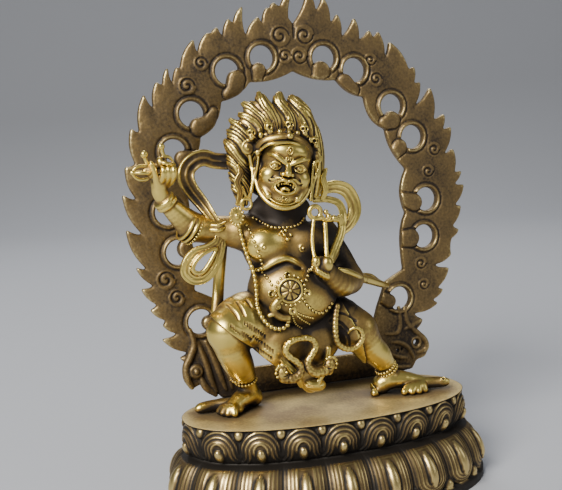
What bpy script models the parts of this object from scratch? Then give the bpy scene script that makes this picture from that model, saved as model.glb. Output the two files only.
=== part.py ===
"""A small cast brass statue of the wrathful guardian Vajrapani, in its three pieces.

The pieces are an oval lotus base with two tiers of petals, the figure in its striding stance, and the
flame aureole that stands on the base behind it. +Z is up, the figure faces -Y, and the origin is the
centre of the base's flat underside. Sizes are in millimetres and become metres when a mesh is made.
The figure and the aureole are free forms: their points are given for the heights below and scale
with FIGURE_HEIGHT and AUREOLE_HEIGHT.
"""

from math import cos, exp, pi, radians, sin, sqrt

import bmesh
import bpy
import numpy as np
from mathutils import Matrix, Vector
from mathutils.geometry import delaunay_2d_cdt

METRES_PER_MM = 0.001
SEAT_GAP = 0.3

# Lotus base
BASE_HEIGHT = 38.0
WAIST_HEIGHT = 23.5
FOOT_BAND_HEIGHT = 3.6
RIM_HALF_WIDTH = 64.0
RIM_HALF_DEPTH = 30.3
WAIST_HALF_WIDTH = 60.5
WAIST_HALF_DEPTH = 27.0
FOOT_HALF_WIDTH = 72.0
FOOT_HALF_DEPTH = 42.0
OVAL_POWER = 2.2
PETALS = 18
PETAL_SHIFT = 0.68
PETAL_COLUMNS = (-0.5, -0.42, -0.22, 0.0, 0.22, 0.42)
UPPER_BULGE = 1.9
UPPER_PETAL_RELIEF = 2.3
LOWER_PETAL_RELIEF = 3.3
BOSS_RELIEF = 1.8

# Flame aureole
AUREOLE_HEIGHT = 178.0
AUREOLE_INSET = 6.9
AUREOLE_LEAN = 1.73
PLATE_THICKNESS = 3.0
RING_CENTRE = 88.0
HOLE_RADIUS = 5.5
HOLE_RIM_WIDTH = 2.2
HOLE_RIM_RELIEF = 0.9
HOLE_POINTS = 12
LOBE_REACH = 0.62
LOBE_HALF_ANGLE = 38.0
FOOT_BAR_HEIGHT = 12.0
FLANK_HOLLOW = 0.05
FLANK_SWELL = 0.09

# Figure
FIGURE_HEIGHT = 134.0
EARRING_HEIGHT = 85.0
EARRING_RADIUS = 2.6
REMESH_VOXEL = 0.8
FIGURE_TRIANGLES = 4950

BRASS_FIGURE = (0.52, 0.42, 0.20)
BRASS_AUREOLE = (0.36, 0.27, 0.14)
BRASS_BASE = (0.30, 0.24, 0.13)

# Openings through the aureole on one side: sideways from the middle, height from the ring's centre.
HOLES = [(14.5, 60.2), (29.8, 54.7), (47.1, 37.5), (56.5, 22.3), (61.5, -4.9), (59.0, -22.5), (48.2, -52.4)]

# The scalloped inner edge: angle from the top and radius of each cusp, with the depth of the scallop after it.
INNER_CUSPS = [
    (0, 54.6, 2.6),
    (22, 54.2, 2.4),
    (38.5, 54.0, 3.6),
    (58, 51.5, 3.0),
    (81, 54.3, 3.8),
    (103, 54.1, 4.0),
    (127.5, 63.6, 0.4),
    (137, 59.8, 0.3),
    (148, 67.0, 0.0),
]

# Flame tongues of each side, from the top down: tip and the notch after it, both from the ring's centre.
TOP_NOTCH = (1.0, 75.0)
LEFT_TONGUES = [
    ((-1.8, 90.0), (4.6, 82.6)),
    ((7.6, 84.6), (9.4, 81.8)),
    ((10.8, 82.4), (13.1, 74.8)),
    ((14.7, 78.6), (21.0, 69.5)),
    ((21.4, 83.4), (26.4, 75.4)),
    ((28.4, 77.8), (31.2, 69.6)),
    ((33.5, 74.0), (36.4, 71.4)),
    ((38.6, 71.4), (42.8, 62.2)),
    ((44.0, 69.4), (51.0, 56.4)),
    ((52.4, 57.6), (54.2, 48.8)),
    ((56.0, 58.0), (58.8, 49.8)),
    ((61.6, 51.6), (63.2, 39.6)),
    ((67.0, 46.8), (70.0, 30.2)),
    ((73.6, 32.6), (72.6, 17.2)),
    ((77.2, 16.2), (72.9, 2.0)),
    ((79.2, 5.2), (71.2, -13.0)),
    ((78.6, -9.8), (70.4, -28.0)),
    ((75.8, -25.8), (68.0, -35.3)),
    ((73.9, -35.8), (67.1, -43.6)),
    ((70.6, -45.4), (64.0, -50.6)),
    ((65.6, -52.8), (58.8, -57.0)),
    ((66.6, -58.6), (55.0, -65.8)),
    ((59.2, -67.8), (54.4, -70.4)),
]
RIGHT_TONGUES = [
    ((8.4, 90.0), (12.0, 80.6)),
    ((15.6, 87.4), (18.8, 75.4)),
    ((22.2, 80.0), (23.8, 69.0)),
    ((30.4, 78.2), (32.4, 67.8)),
    ((37.4, 72.4), (39.2, 68.8)),
    ((42.2, 72.0), (44.8, 59.1)),
    ((47.4, 67.2), (57.0, 54.4)),
    ((59.8, 55.8), (59.4, 48.0)),
    ((62.8, 48.6), (58.8, 36.8)),
    ((67.8, 46.0), (69.0, 30.8)),
    ((74.8, 33.6), (73.6, 26.0)),
    ((78.3, 27.4), (73.8, 14.2)),
    ((78.9, 17.0), (79.3, 5.6)),
    ((83.4, 6.3), (79.0, 0.0)),
    ((84.3, -0.4), (79.0, -10.0)),
    ((82.4, -10.4), (77.4, -20.0)),
    ((81.0, -21.8), (76.6, -26.0)),
    ((76.2, -34.0), (66.2, -37.8)),
    ((74.9, -39.8), (68.2, -49.2)),
    ((71.8, -49.7), (65.3, -54.7)),
    ((68.9, -56.2), (55.0, -60.2)),
    ((60.0, -63.4), (55.4, -68.4)),
]

# The creature's head at the foot of each side: brow, snout, jaw and neck, down to where it stands on the
# base, in heights above the base.
LEFT_HEAD = [(57.4, 14.0), (56.6, 9.6), (54.0, 5.8), (49.0, 8.0), (45.0, 4.6), (41.0, 0.0)]
RIGHT_HEAD = [(59.0, 17.0), (62.6, 10.4), (60.2, 6.4), (55.6, 5.2), (53.4, 1.4), (42.0, 0.0)]


# Building helpers


def mesh_object(name, points, faces, colour, roughness):
    """One object from points in millimetres, with its own brass."""
    mesh = bpy.data.meshes.new(name)
    mesh.from_pydata([[float(c) * METRES_PER_MM for c in point] for point in points], [], faces)
    mesh.update()
    piece = bpy.data.objects.new(name, mesh)
    bpy.context.scene.collection.objects.link(piece)
    brass = bpy.data.materials.new(name + "_brass")
    brass.use_nodes = True
    shader = brass.node_tree.nodes["Principled BSDF"]
    shader.inputs["Base Color"].default_value = (*colour, 1.0)
    shader.inputs["Metallic"].default_value = 1.0
    shader.inputs["Roughness"].default_value = roughness
    mesh.materials.append(brass)
    return piece


# Lotus base


def oval(angle, half_width, half_depth):
    """Point and outward direction of a squared oval at a parameter angle."""
    c, s = cos(angle), sin(angle)
    share = 2.0 / OVAL_POWER
    point = np.array([half_width * np.sign(c) * abs(c) ** share, half_depth * np.sign(s) * abs(s) ** share])
    out = np.array([
        np.sign(c) * abs(c) ** (2.0 - share) / half_width,
        np.sign(s) * abs(s) ** (2.0 - share) / half_depth,
    ])
    return point, out / np.linalg.norm(out)


def rim_angles(petals):
    """Parameter angles of places along the rim, counted in petals that are all equally wide there."""
    fine = np.linspace(0.0, 2.0 * pi, 1441)
    rim = np.array([oval(a, RIM_HALF_WIDTH, RIM_HALF_DEPTH)[0] for a in fine])
    run = np.concatenate([[0.0], np.cumsum(np.linalg.norm(np.diff(rim, axis=0), axis=1))])
    return np.interp((np.array(petals) / PETALS % 1.0) * run[-1], run, fine)


def upper_relief(u, v):
    """Outward swell of an upright petal: u across it from -0.5 to 0.5, v up the tier from 0 to 1."""
    reach = sqrt((u / 0.5) ** 2 + (max(v - 0.25, 0.0) / 0.78) ** 2)
    swell = UPPER_PETAL_RELIEF * (1.0 - min(reach, 1.0) ** 2)
    boss = BOSS_RELIEF * exp(-((u / 0.14) ** 2) - ((v - 0.3) / 0.22) ** 2)
    return swell + boss


def lower_relief(u, v):
    """Outward swell of a hanging petal: v runs down the tier from 0 at the waist to 1 at its tip."""
    reach = sqrt((u / 0.5) ** 2 + (max(v - 0.45, 0.0) / 0.6) ** 2)
    swell = LOWER_PETAL_RELIEF * (1.0 - min(reach, 1.0) ** 2)
    boss = BOSS_RELIEF * exp(-((u / 0.13) ** 2) - ((v - 0.62) / 0.28) ** 2)
    return (swell + boss) * min(1.0, 4.0 * v)


def base_rings():
    """Rings from the underside up: height, half width, half depth and the petal relief as a function of u."""
    flat = lambda u: 0.0
    rings = [(0.0, FOOT_HALF_WIDTH, FOOT_HALF_DEPTH, flat)]
    rings.append((FOOT_BAND_HEIGHT, FOOT_HALF_WIDTH, FOOT_HALF_DEPTH, flat))
    tier = WAIST_HEIGHT - FOOT_BAND_HEIGHT
    for v in (0.94, 0.76, 0.5, 0.25, 0.0):
        share = sqrt(1.0 - (1.0 - v) ** 2)
        inset = LOWER_PETAL_RELIEF
        half_width = WAIST_HALF_WIDTH + (FOOT_HALF_WIDTH - inset - WAIST_HALF_WIDTH) * share
        half_depth = WAIST_HALF_DEPTH + (FOOT_HALF_DEPTH - inset - WAIST_HALF_DEPTH) * share
        rings.append((WAIST_HEIGHT - tier * v, half_width, half_depth, lambda u, v=v: lower_relief(u, v)))
    tier = BASE_HEIGHT - WAIST_HEIGHT
    for v in (0.08, 0.3, 0.55, 0.78, 0.93):
        bulge = UPPER_BULGE * sin(pi * (0.15 + 0.75 * v))
        half_width = WAIST_HALF_WIDTH + (RIM_HALF_WIDTH - WAIST_HALF_WIDTH) * sqrt(v) + bulge - UPPER_PETAL_RELIEF
        half_depth = WAIST_HALF_DEPTH + (RIM_HALF_DEPTH - WAIST_HALF_DEPTH) * sqrt(v) + bulge - UPPER_PETAL_RELIEF
        rings.append((WAIST_HEIGHT + tier * v, half_width, half_depth, lambda u, v=v: upper_relief(u, v)))
    rings.append((BASE_HEIGHT, RIM_HALF_WIDTH, RIM_HALF_DEPTH, flat))
    return rings


def lotus_base():
    places = [(petal, u) for petal in range(PETALS) for u in PETAL_COLUMNS]
    angles = rim_angles([petal + 0.5 + u + PETAL_SHIFT for petal, u in places])
    columns = len(places)
    points, faces = [], []
    rings = base_rings()
    for height, half_width, half_depth, relief in rings:
        for angle, (_, u) in zip(angles, places):
            at, out = oval(angle, half_width, half_depth)
            x, y = at + out * relief(u)
            points.append((x, y, height))
    for ring in range(len(rings) - 1):
        for column in range(columns):
            after = (column + 1) % columns
            low, high = ring * columns, (ring + 1) * columns
            faces.append((low + column, low + after, high + after, high + column))
    faces.append(tuple(reversed(range(columns))))
    faces.append(tuple(range((len(rings) - 1) * columns, len(rings) * columns)))
    return mesh_object("lotus_base", points, faces, BRASS_BASE, 0.42)


# Flame aureole


def tongue_points(root, tip, notch, lower_points=2):
    """The outline of one flame from the notch before it to the notch after: a hollow upper edge and a full lower one."""
    root, tip, notch = (np.array(p, float) for p in (root, tip, notch))
    rise = tip - root
    across = np.array([rise[1], -rise[0]])
    found = [root, root + rise * 0.55 + across * FLANK_HOLLOW]
    found.append(tip)
    fall = notch - tip
    side = np.array([-fall[1], fall[0]])
    outward = side if side[0] > 0 else -side
    for step in range(1, lower_points + 1):
        share = step / (lower_points + 1)
        found.append(tip + fall * share + outward * FLANK_SWELL * sin(pi * share))
    return found


def side_outline(tongues, head):
    """The flaming outer edge of one side from the top notch down round the creature's head, towards +sideways."""
    centre = np.array([0.0, RING_CENTRE])
    found = []
    root = centre + TOP_NOTCH
    for tip, notch in tongues:
        found += tongue_points(root, centre + tip, centre + notch)
        root = centre + notch
    found.append(root)
    found += [np.array(point, float) for point in head]
    return found


def outer_outline():
    left = [(-s, h) for s, h in side_outline(LEFT_TONGUES, LEFT_HEAD)[1:]]
    right = [(s, h) for s, h in side_outline(RIGHT_TONGUES, RIGHT_HEAD)]
    return [tuple(p) for p in reversed(left)] + [tuple(p) for p in right]


def inner_outline():
    """The scalloped inner edge, closed below by the top of the foot bar."""
    found = []
    for (angle, radius, depth), (angle_after, radius_after, _) in zip(INNER_CUSPS, INNER_CUSPS[1:]):
        for share in (0.0, 0.3, 0.65) if depth > 1.0 else (0.0,):
            at = radians(angle + (angle_after - angle) * share)
            r = radius + (radius_after - radius) * share - depth * sin(pi * share)
            found.append((r * sin(at), RING_CENTRE + r * cos(at)))
    found.append((33.6, 24.0))
    found.append((30.5, FOOT_BAR_HEIGHT + 1.5))
    found.append((26.0, FOOT_BAR_HEIGHT))
    return found + [(-s, h) for s, h in reversed(found[1:])]


def hole_outline(s, h, radius, lobed):
    """A round opening with the curl that reaches into it from its lower, inner side."""
    lobe = np.arctan2(-0.8, -0.6 * np.sign(s))
    found = []
    for step in range(HOLE_POINTS):
        at = 2.0 * pi * step / HOLE_POINTS + lobe
        turn = abs((at - lobe + pi) % (2.0 * pi) - pi)
        r = radius * (1.0 - lobed * exp(-((turn / radians(LOBE_HALF_ANGLE)) ** 2)))
        found.append((s + r * cos(at), h + r * sin(at)))
    return found


def flame_aureole():
    loops = [(outer_outline(), 0.0), (inner_outline(), 0.0)]
    rims = []
    for s, rise in HOLES:
        for side in (-1, 1):
            at = (side * s, RING_CENTRE + rise)
            loops.append((hole_outline(*at, HOLE_RADIUS, LOBE_REACH), HOLE_RIM_RELIEF))
            rims.append(hole_outline(*at, HOLE_RADIUS + HOLE_RIM_WIDTH, 0.0))
    flat, height, edges = [], [], []
    for loop, relief in loops + [(rim, 0.0) for rim in rims]:
        first = len(flat)
        flat += [Vector((float(s), float(h))) for s, h in loop]
        height += [relief] * len(loop)
        edges += [(first + i, first + (i + 1) % len(loop)) for i in range(len(loop))]
    found = delaunay_2d_cdt(flat, edges, [], 0, 1e-5)
    verts, faces = found[0], found[2]
    order = np.array([sources[0] if sources else -1 for sources in found[3]])
    outer = np.array(loops[0][0])
    voids = [np.array(loop) for loop, _ in loops[1:]]
    kept = []
    for face in faces:
        centre = sum((verts[i] for i in face), Vector((0.0, 0.0))) / len(face)
        if inside(outer, centre) and not any(inside(void, centre) for void in voids):
            kept.append(tuple(face))
    scale = AUREOLE_HEIGHT / outer[:, 1].max()
    lean = radians(AUREOLE_LEAN)
    half = PLATE_THICKNESS / 2.0
    setback = RIM_HALF_DEPTH - AUREOLE_INSET
    floor = BASE_HEIGHT + SEAT_GAP + half * sin(lean)
    points = []
    for side in (-1, 1):
        for vert, source in zip(verts, order):
            relief = height[source] if side < 0 and source >= 0 else 0.0
            depth = side * half - relief
            up = vert[1] * scale
            points.append((
                vert[0] * scale,
                setback + depth * cos(lean) + up * sin(lean),
                floor - depth * sin(lean) + up * cos(lean),
            ))
    count = len(verts)
    solid = [face for face in kept] + [tuple(count + i for i in reversed(face)) for face in kept]
    sides = {(a, b) for face in kept for a, b in zip(face, face[1:] + face[:1])}
    for a, b in sorted(sides):
        if (b, a) not in sides:
            solid.append((b, a, count + a, count + b))
    return mesh_object("flame_aureole", points, solid, BRASS_AUREOLE, 0.5)


def inside(polygon, point):
    """Whether a point lies within a closed polygon, by crossings."""
    x, y = point[0], point[1]
    a, b = polygon, np.roll(polygon, -1, axis=0)
    crosses = (a[:, 1] > y) != (b[:, 1] > y)
    with np.errstate(divide="ignore", invalid="ignore"):
        at = a[:, 0] + (y - a[:, 1]) * (b[:, 0] - a[:, 0]) / (b[:, 1] - a[:, 1])
    return bool(np.count_nonzero(crosses & (x < at)) % 2)


# Figure


class Clay:
    """Closed lumps in millimetres above the base's top, gathered to be fused into one skin."""

    def __init__(self):
        self.mesh = bmesh.new()

    def ball(self, centre, radii, turn=(0.0, 0.0, 0.0)):
        """An ellipsoid; turn is in degrees about X, Y and Z."""
        made = bmesh.ops.create_icosphere(self.mesh, subdivisions=3, radius=1.0)["verts"]
        grow = Matrix.Diagonal((*radii, 1.0))
        spin = Matrix.Identity(4)
        for axis, angle in zip("XYZ", turn):
            spin = Matrix.Rotation(radians(angle), 4, axis) @ spin
        bmesh.ops.transform(self.mesh, matrix=Matrix.Translation(centre) @ spin @ grow, verts=made)

    def tube(self, route, radii, flat=1.0, face=(0.0, -1.0, 0.0), steps=4, sides=10):
        """A rounded rod along a smooth route; flat squeezes it along the direction that it faces."""
        centres, sizes = smooth_route(route, radii, steps)
        rings = []
        count = len(centres)
        for i, (at, size) in enumerate(zip(centres, sizes)):
            along = centres[min(i + 1, count - 1)] - centres[max(i - 1, 0)]
            along /= np.linalg.norm(along)
            thin = np.array(face, float)
            thin -= along * thin.dot(along)
            thin /= np.linalg.norm(thin)
            wide = np.cross(along, thin)
            ring = []
            for k in range(sides):
                a = 2.0 * pi * k / sides
                ring.append(self.mesh.verts.new(at + size * (cos(a) * wide + flat * sin(a) * thin)))
            rings.append(ring)
        for low, high in zip(rings, rings[1:]):
            for k in range(sides):
                self.mesh.faces.new((low[k], low[(k + 1) % sides], high[(k + 1) % sides], high[k]))
        for ring, at, inner, size, order in (
            (rings[0], centres[0], centres[1], sizes[0], -1),
            (rings[-1], centres[-1], centres[-2], sizes[-1], 1),
        ):
            out = at - inner
            tip = self.mesh.verts.new(at + out / np.linalg.norm(out) * size * 0.6 * flat)
            for k in range(sides):
                pair = (ring[k], ring[(k + 1) % sides])
                self.mesh.faces.new((pair if order > 0 else pair[::-1]) + (tip,))

    def ribbon(self, route, width, thick, face=(0.0, -1.0, 0.0), steps=5):
        self.tube(route, [width] * len(route), flat=thick / width, face=face, steps=steps)


def smooth_route(route, radii, steps):
    """Points and radii along a Catmull-Rom curve through the route."""
    knots = np.array([(*point, radius) for point, radius in zip(route, radii)], float)
    padded = np.vstack([2 * knots[0] - knots[1], knots, 2 * knots[-1] - knots[-2]])
    found = []
    for a, b, c, d in zip(padded, padded[1:], padded[2:], padded[3:]):
        for step in range(steps):
            t = step / steps
            found.append(0.5 * (2 * b + (c - a) * t + (2 * a - 5 * b + 4 * c - d) * t**2 + (3 * b - a - 3 * c + d) * t**3))
    found.append(knots[-1])
    found = np.array(found)
    return found[:, :3], np.maximum(found[:, 3], 0.2)


def arc(centre, radius_x, radius_z, start, stop, count, y):
    """Points of an upright arc, angles in degrees from +X towards +Z."""
    found = []
    for step in range(count):
        a = radians(start + (stop - start) * step / (count - 1))
        found.append((centre[0] + radius_x * cos(a), y, centre[1] + radius_z * sin(a)))
    return found


def add_trunk(clay):
    clay.ball((-15, 2, 34), (18, 13, 12))
    clay.ball((-14.5, -2, 50), (19.5, 16, 17))
    clay.ball((-17, 1, 68), (18, 12, 14), (0, 8, 0))
    clay.ball((-27, -6, 71), (9, 7, 8))
    clay.ball((-9, -6, 70), (9, 7, 8))
    clay.tube([(-16.5, 1, 76), (-16.5, 0, 90)], [9, 8])


def add_head(clay):
    clay.ball((-16.5, -4, 99), (11.8, 13, 15))
    clay.ball((-16.5, -14, 93), (6.5, 4.5, 4.5))
    clay.tube([(-16.8, -14, 103), (-16.9, -18, 98.5)], [1.4, 3.0])
    clay.tube([(-27.5, -6, 99), (-25, -12, 90.5), (-16.7, -15.6, 86.6), (-8.5, -12, 90), (-5.5, -6, 98)], [1.8] * 5)
    for side in (-1, 1):
        clay.ball((-16.5 + side * 5.2, -14.2, 103.5), (3.0, 2.6, 2.6))
        clay.ball((-16.5 + side * 12.4, -5, 99.5), (1.8, 3.0, 5.6), (0, 0, side * 25))
        clay.ball((-16.5 + side * 7.5, -12, 96.5), (3.6, 4.2, 4.2))


def add_hair(clay):
    """A dome of hair swept up and to one side, ending in flame-like locks."""
    clay.ball((-17.5, 5, 106), (20.5, 9.5, 20))
    clay.ball((-16.5, 4, 115), (17, 9.5, 14))
    for root, middle, tip, size in (
        ((-31, 2, 100), (-36, 1, 107), (-40, 3, 115), 4.4),
        ((-29, 1, 106), (-34, 0, 114), (-38.4, 3, 124), 4.8),
        ((-26, 0, 110), (-29, -1, 120), (-33.4, 3, 131), 5.2),
        ((-19, -1, 112), (-20.5, -1, 124), (-25.4, 3, 135.5), 5.6),
        ((-10, -1, 112), (-11, 0, 124), (-16.6, 4, 134.6), 5.6),
        ((-3, 0, 108), (-4, 1, 121), (-10.6, 4, 132.4), 5.2),
    ):
        clay.tube([root, middle, tip], [size, size * 0.95, 1.0], flat=0.8)
    clay.tube([(-34, 4, 104), (-36, 4, 96), (-34.5, 4, 87)], [4.0, 4.4, 2.4], flat=0.8)
    clay.tube([(-1, 4, 106), (1, 4, 97), (-1, 4, 87)], [4.4, 4.4, 2.4], flat=0.8)


def add_crown(clay):
    band = [(-29, -4, 104), (-26.5, -11, 110), (-16.7, -15.5, 114.2), (-7, -11, 110), (-4, -4, 103.5)]
    clay.tube(band, [1.7] * 5, steps=5)
    for x, y, z in ((-29.5, -7, 113), (-24, -12, 117), (-16.2, -14.5, 119), (-9.5, -12, 116.5), (-3.8, -7, 111.5)):
        clay.ball((x, y, z), (2.7, 2.4, 3.3))
    clay.tube([(-16.2, -13, 121), (-16.2, -12, 126)], [1.8, 0.6])
    clay.ball((-32.5, -5, 105.5), (3.6, 2.6, 4.2))
    clay.ball((-1.5, -5, 103), (3.0, 2.6, 3.8))


def add_right_arm(clay):
    clay.ball((-34, 1.5, 75.5), (8.5, 7.5, 7.8))
    clay.tube([(-35, 2, 76), (-46, 4, 77.4), (-54.6, 3.6, 79.2)], [7.0, 6.2, 6.0])
    clay.tube([(-54.8, 3.5, 79.4), (-60.8, 2, 85.3), (-65.6, 0.5, 90)], [6.0, 4.8, 3.7])
    clay.tube([(-63.8, 1, 88.4), (-66.4, 0.2, 91.6)], [4.3, 4.3])
    clay.tube([(-66, 0.4, 91), (-68.6, -1.2, 97), (-70.2, -2.4, 102)], [3.6, 4.0, 3.0])
    clay.tube([(-71, -4, 97), (-72.4, -5, 103), (-71.6, -5.5, 108.5)], [1.8, 1.7, 1.2])
    for k in range(3):
        clay.tube([(-67.5 + k * 2.2, -3, 99), (-66 + k * 2.2, -5.6, 102.5), (-66.5 + k * 2.2, -4.4, 106)], [1.6, 1.6, 1.2])
    add_vajra(clay)


def add_vajra(clay):
    middle, half = (-69.5, -3, 105.0), 11.5
    rise = radians(6.0)
    ends = [(middle[0] + side * half * cos(rise), middle[1], middle[2] + side * half * sin(rise)) for side in (-1, 1)]
    clay.tube([ends[0], middle, ends[1]], [1.0, 2.0, 1.0])
    clay.ball(middle, (3.4, 3.0, 3.2))
    for side, end in zip((-1, 1), ends):
        for bow in (-1, 0.9):
            clay.tube(
                [
                    (middle[0] + side * 4.0, middle[1], middle[2] + side * 0.4 + bow * 1.0),
                    (middle[0] + side * 7.5, middle[1] - 0.8, middle[2] + side * 0.8 + bow * 3.0),
                    (end[0], end[1], end[2] + bow * 0.8),
                ],
                [1.1, 1.1, 0.8],
            )


def add_left_arm(clay):
    clay.ball((1.5, 1, 72), (7.4, 7.0, 7.6))
    clay.tube([(2.5, 1, 71), (8.0, 0.5, 61), (9.2, -3, 52.5)], [6.6, 6.2, 6.2])
    clay.tube([(9.2, -3.5, 52), (3, -11, 53), (-5, -16.5, 60)], [6.8, 6.2, 4.2])
    clay.tube([(-5, -16.5, 60), (-9, -19, 65)], [4.6, 3.8])
    for x, z in ((-12.6, 68.6), (-6.8, 67.6)):
        clay.ball((x, -21.5, z), (2.4, 2.4, 2.6))
    clay.tube([(5, -13, 58), (20, 2, 51.5), (33, 16, 46.5), (38.5, 19, 43)], [1.9, 2.0, 1.8, 1.4])
    clay.ball((18.4, 0.4, 52.2), (2.0, 2.6, 2.8))


def add_legs(clay):
    clay.tube([(-22, 3, 37), (-36, -2, 39.5), (-45.6, -6.5, 37.6)], [13, 11.6, 8.4])
    clay.tube([(-45.8, -6.5, 36.5), (-41.6, -3.5, 24), (-35.4, 3.5, 14)], [8.0, 6.8, 4.6])
    clay.tube([(-35.4, 3.5, 14), (-33.2, 5.5, 7)], [4.6, 5.0])
    clay.tube([(-4, 3, 36), (6, -1, 37), (14.2, -4.5, 31)], [12.5, 10.5, 8.2])
    clay.tube([(14.2, -4.5, 31), (19.8, -4, 22), (27.2, -2.5, 13.4)], [8.2, 6.7, 4.8])
    clay.tube([(27.2, -2.5, 13.4), (28.4, -2.2, 6)], [4.7, 5.0])
    add_foot(clay, (-31, 7), (-47, -3), -1)
    clay.tube([(-38, 2, 3), (-48, 6.5, 2.4), (-56, 5.8, 2.2)], [3.0, 2.4, 1.6])
    add_foot(clay, (25.5, -1.5), (54.5, -6.5), 1)


def add_foot(clay, heel, toe, side):
    """A bare foot with spread toes that lift at their tips; heel and toe are places on the base's top."""
    heel, toe = np.array(heel, float), np.array(toe, float)
    along = (toe - heel) / np.linalg.norm(toe - heel)
    across = np.array([-along[1], along[0]])
    ball = heel + (toe - heel) * 0.62
    clay.tube([(*heel, 4.0), (*(heel * 0.6 + ball * 0.4), 5.6), (*ball, 3.6)], [4.4, 4.8, 4.0], flat=0.9, face=(0, 0, 1))
    clay.ball((*ball, 2.4), (5.2, 5.6, 3.0))
    for k in range(5):
        spread = (k - 2) * 2.2
        root = ball + across * spread * 0.9
        length = (toe - ball) @ along * (1.0 - 0.05 * abs(k - (4 if side < 0 else 0)))
        tip = root + along * length * 0.95 + across * spread * 0.12
        middle = (root + tip) / 2.0
        clay.tube([(*root, 2.6), (*middle, 2.3), (*tip, 2.3)], [2.2, 1.7, 1.4])


def add_skirt(clay):
    """The hide about the hips: it sags between the legs and falls to one side over the bent leg."""
    clay.tube([(-43, -10, 44), (-33, -14, 33), (-23, -12, 20)], [4.6, 7.0, 4.4], flat=0.45, face=(0.4, -1, -0.5))
    clay.ball((-22, -6, 30), (13, 10, 13), (0, 30, 0))
    clay.ball((-8, -4, 28), (14, 10, 12))
    clay.tube([(-16, -6, 24), (-12, -8, 14), (-8.5, -8.5, 9)], [7.0, 6.0, 3.6], flat=0.6)


def add_snakes(clay):
    """The knotted snake belt in front, and the ringed garland that hangs from the shoulder across the belly."""
    left = [(-17, -17.5, 33.5), (-23.5, -17, 31), (-24.5, -17, 26), (-18.5, -17, 22.5), (-18, -17, 17.5), (-24, -16.5, 15.5), (-27.5, -16.5, 19.5)]
    right = [(-17, -17.5, 33.5), (-10, -17, 32.5), (-8.5, -17, 27), (-12.5, -17, 22), (-9.5, -17, 16.5), (-3.5, -17, 16.5), (-0.8, -16.5, 22.5)]
    for route in (left, right):
        clay.tube(route, [1.8, 2.1, 2.2, 2.2, 2.3, 2.7, 2.2])
    garland = [
        (-36, -7, 78), (-35, -13, 68), (-33.5, -17.2, 56), (-31, -18.4, 46), (-27, -17.6, 38.6),
        (-21.5, -18, 36), (-19, -19.4, 39), (-24, -20.2, 42), (-26.2, -20.6, 47),
    ]
    clay.tube(garland, [1.6, 2.0, 2.2, 2.3, 2.3, 2.1, 2.1, 2.5, 1.8])
    tail = [(0.5, -17, 44), (0.8, -18, 34), (5, -18.6, 28.6), (11.5, -18, 29), (15, -17.2, 33.5), (11, -17.4, 37.4), (7.4, -17.8, 35)]
    clay.tube(tail, [2.2, 2.3, 2.3, 2.1, 1.9, 1.6, 1.0])


def add_jewellery(clay):
    clay.ball((-21.4, -18.6, 54), (6.2, 2.2, 6.2))
    clay.tube([(-31, -7, 78), (-25, -12, 74.5), (-17.5, -14, 73), (-10, -12, 74), (-4, -7, 77)], [1.3] * 5)
    clay.ball((-18, -14.5, 70), (3.6, 1.8, 3.2))
    for x in (-30.8, -3.0):
        clay.tube(arc((x, EARRING_HEIGHT), EARRING_RADIUS, EARRING_RADIUS, 0, 345, 9, -9), [0.9] * 9, steps=2)
    clay.ball((-35, -9, 81.4), (4.0, 2.4, 3.8))
    for route, size in (
        (arc((-35.2, 13.8), 4.6, 1.0, 180, 360, 5, -0.5), 1.2),
        (arc((27.4, 12.6), 4.4, 2.2, 160, 340, 5, -6.0), 1.2),
    ):
        clay.tube(route, [size] * len(route))


def add_scarves(clay):
    """The long scarf that billows from behind the head, knots at the right elbow and loops, and the noose cords."""
    away = (0.0, -1.0, 0.0)
    clay.ribbon([(-34, 9, 105), (-42, 9.5, 105.8), (-49.5, 9.5, 107), (-55, 9, 102), (-54, 7.5, 94.5), (-46, 2, 80)], 3.5, 1.9, away)
    clay.ribbon([(-46, 3, 80), (-45, 0, 70), (-48, -2, 60), (-55, -2, 57.2), (-60, -2, 62), (-58, -2, 69), (-50, -1, 73), (-46.5, 1, 78)], 2.1, 1.6, away)
    clay.ball((-46, 1, 79), (3.4, 2.6, 3.2))
    clay.tube([(-38, 9, 78), (-41.5, 9, 62), (-43.5, 6, 46)], [3.2, 3.0, 3.4], flat=0.7)
    clay.ribbon([(0, 9, 90), (8, 10.5, 92.6), (16, 10.5, 91), (20.4, 9.5, 83), (17.5, 7, 74), (9.5, 3, 68)], 3.0, 1.7, away)
    for x in (-7.0, 0.5):
        clay.tube([(x - 3.6, -20, 68), (x - 2.6, -18, 76), (x * 0.8 - 2.2, -15.5, 84)], [1.3, 1.3, 1.3])
    clay.tube([(1.2, -17.5, 67), (6, -11, 74), (7.5, -6, 81)], [1.5, 1.4, 1.3])
    clay.tube([(-10, -14, 84.4), (-3, -13.6, 86), (3.5, -12, 83)], [2.0, 2.2, 1.6])


def vajrapani_figure():
    clay = Clay()
    for add in (
        add_trunk,
        add_head,
        add_hair,
        add_crown,
        add_right_arm,
        add_left_arm,
        add_legs,
        add_skirt,
        add_snakes,
        add_jewellery,
        add_scarves,
    ):
        add(clay)
    bmesh.ops.recalc_face_normals(clay.mesh, faces=clay.mesh.faces)
    lumps = bpy.data.meshes.new("clay")
    bmesh.ops.scale(clay.mesh, vec=(METRES_PER_MM,) * 3, verts=clay.mesh.verts)
    clay.mesh.to_mesh(lumps)
    clay.mesh.free()
    skin = fused(lumps)
    scale = FIGURE_HEIGHT / max(point[2] for point in skin[0])
    floor = BASE_HEIGHT + SEAT_GAP
    points = [(x * scale, y * scale, floor + z * scale) for x, y, z in skin[0]]
    return mesh_object("vajrapani_figure", points, skin[1], BRASS_FIGURE, 0.32)


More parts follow.
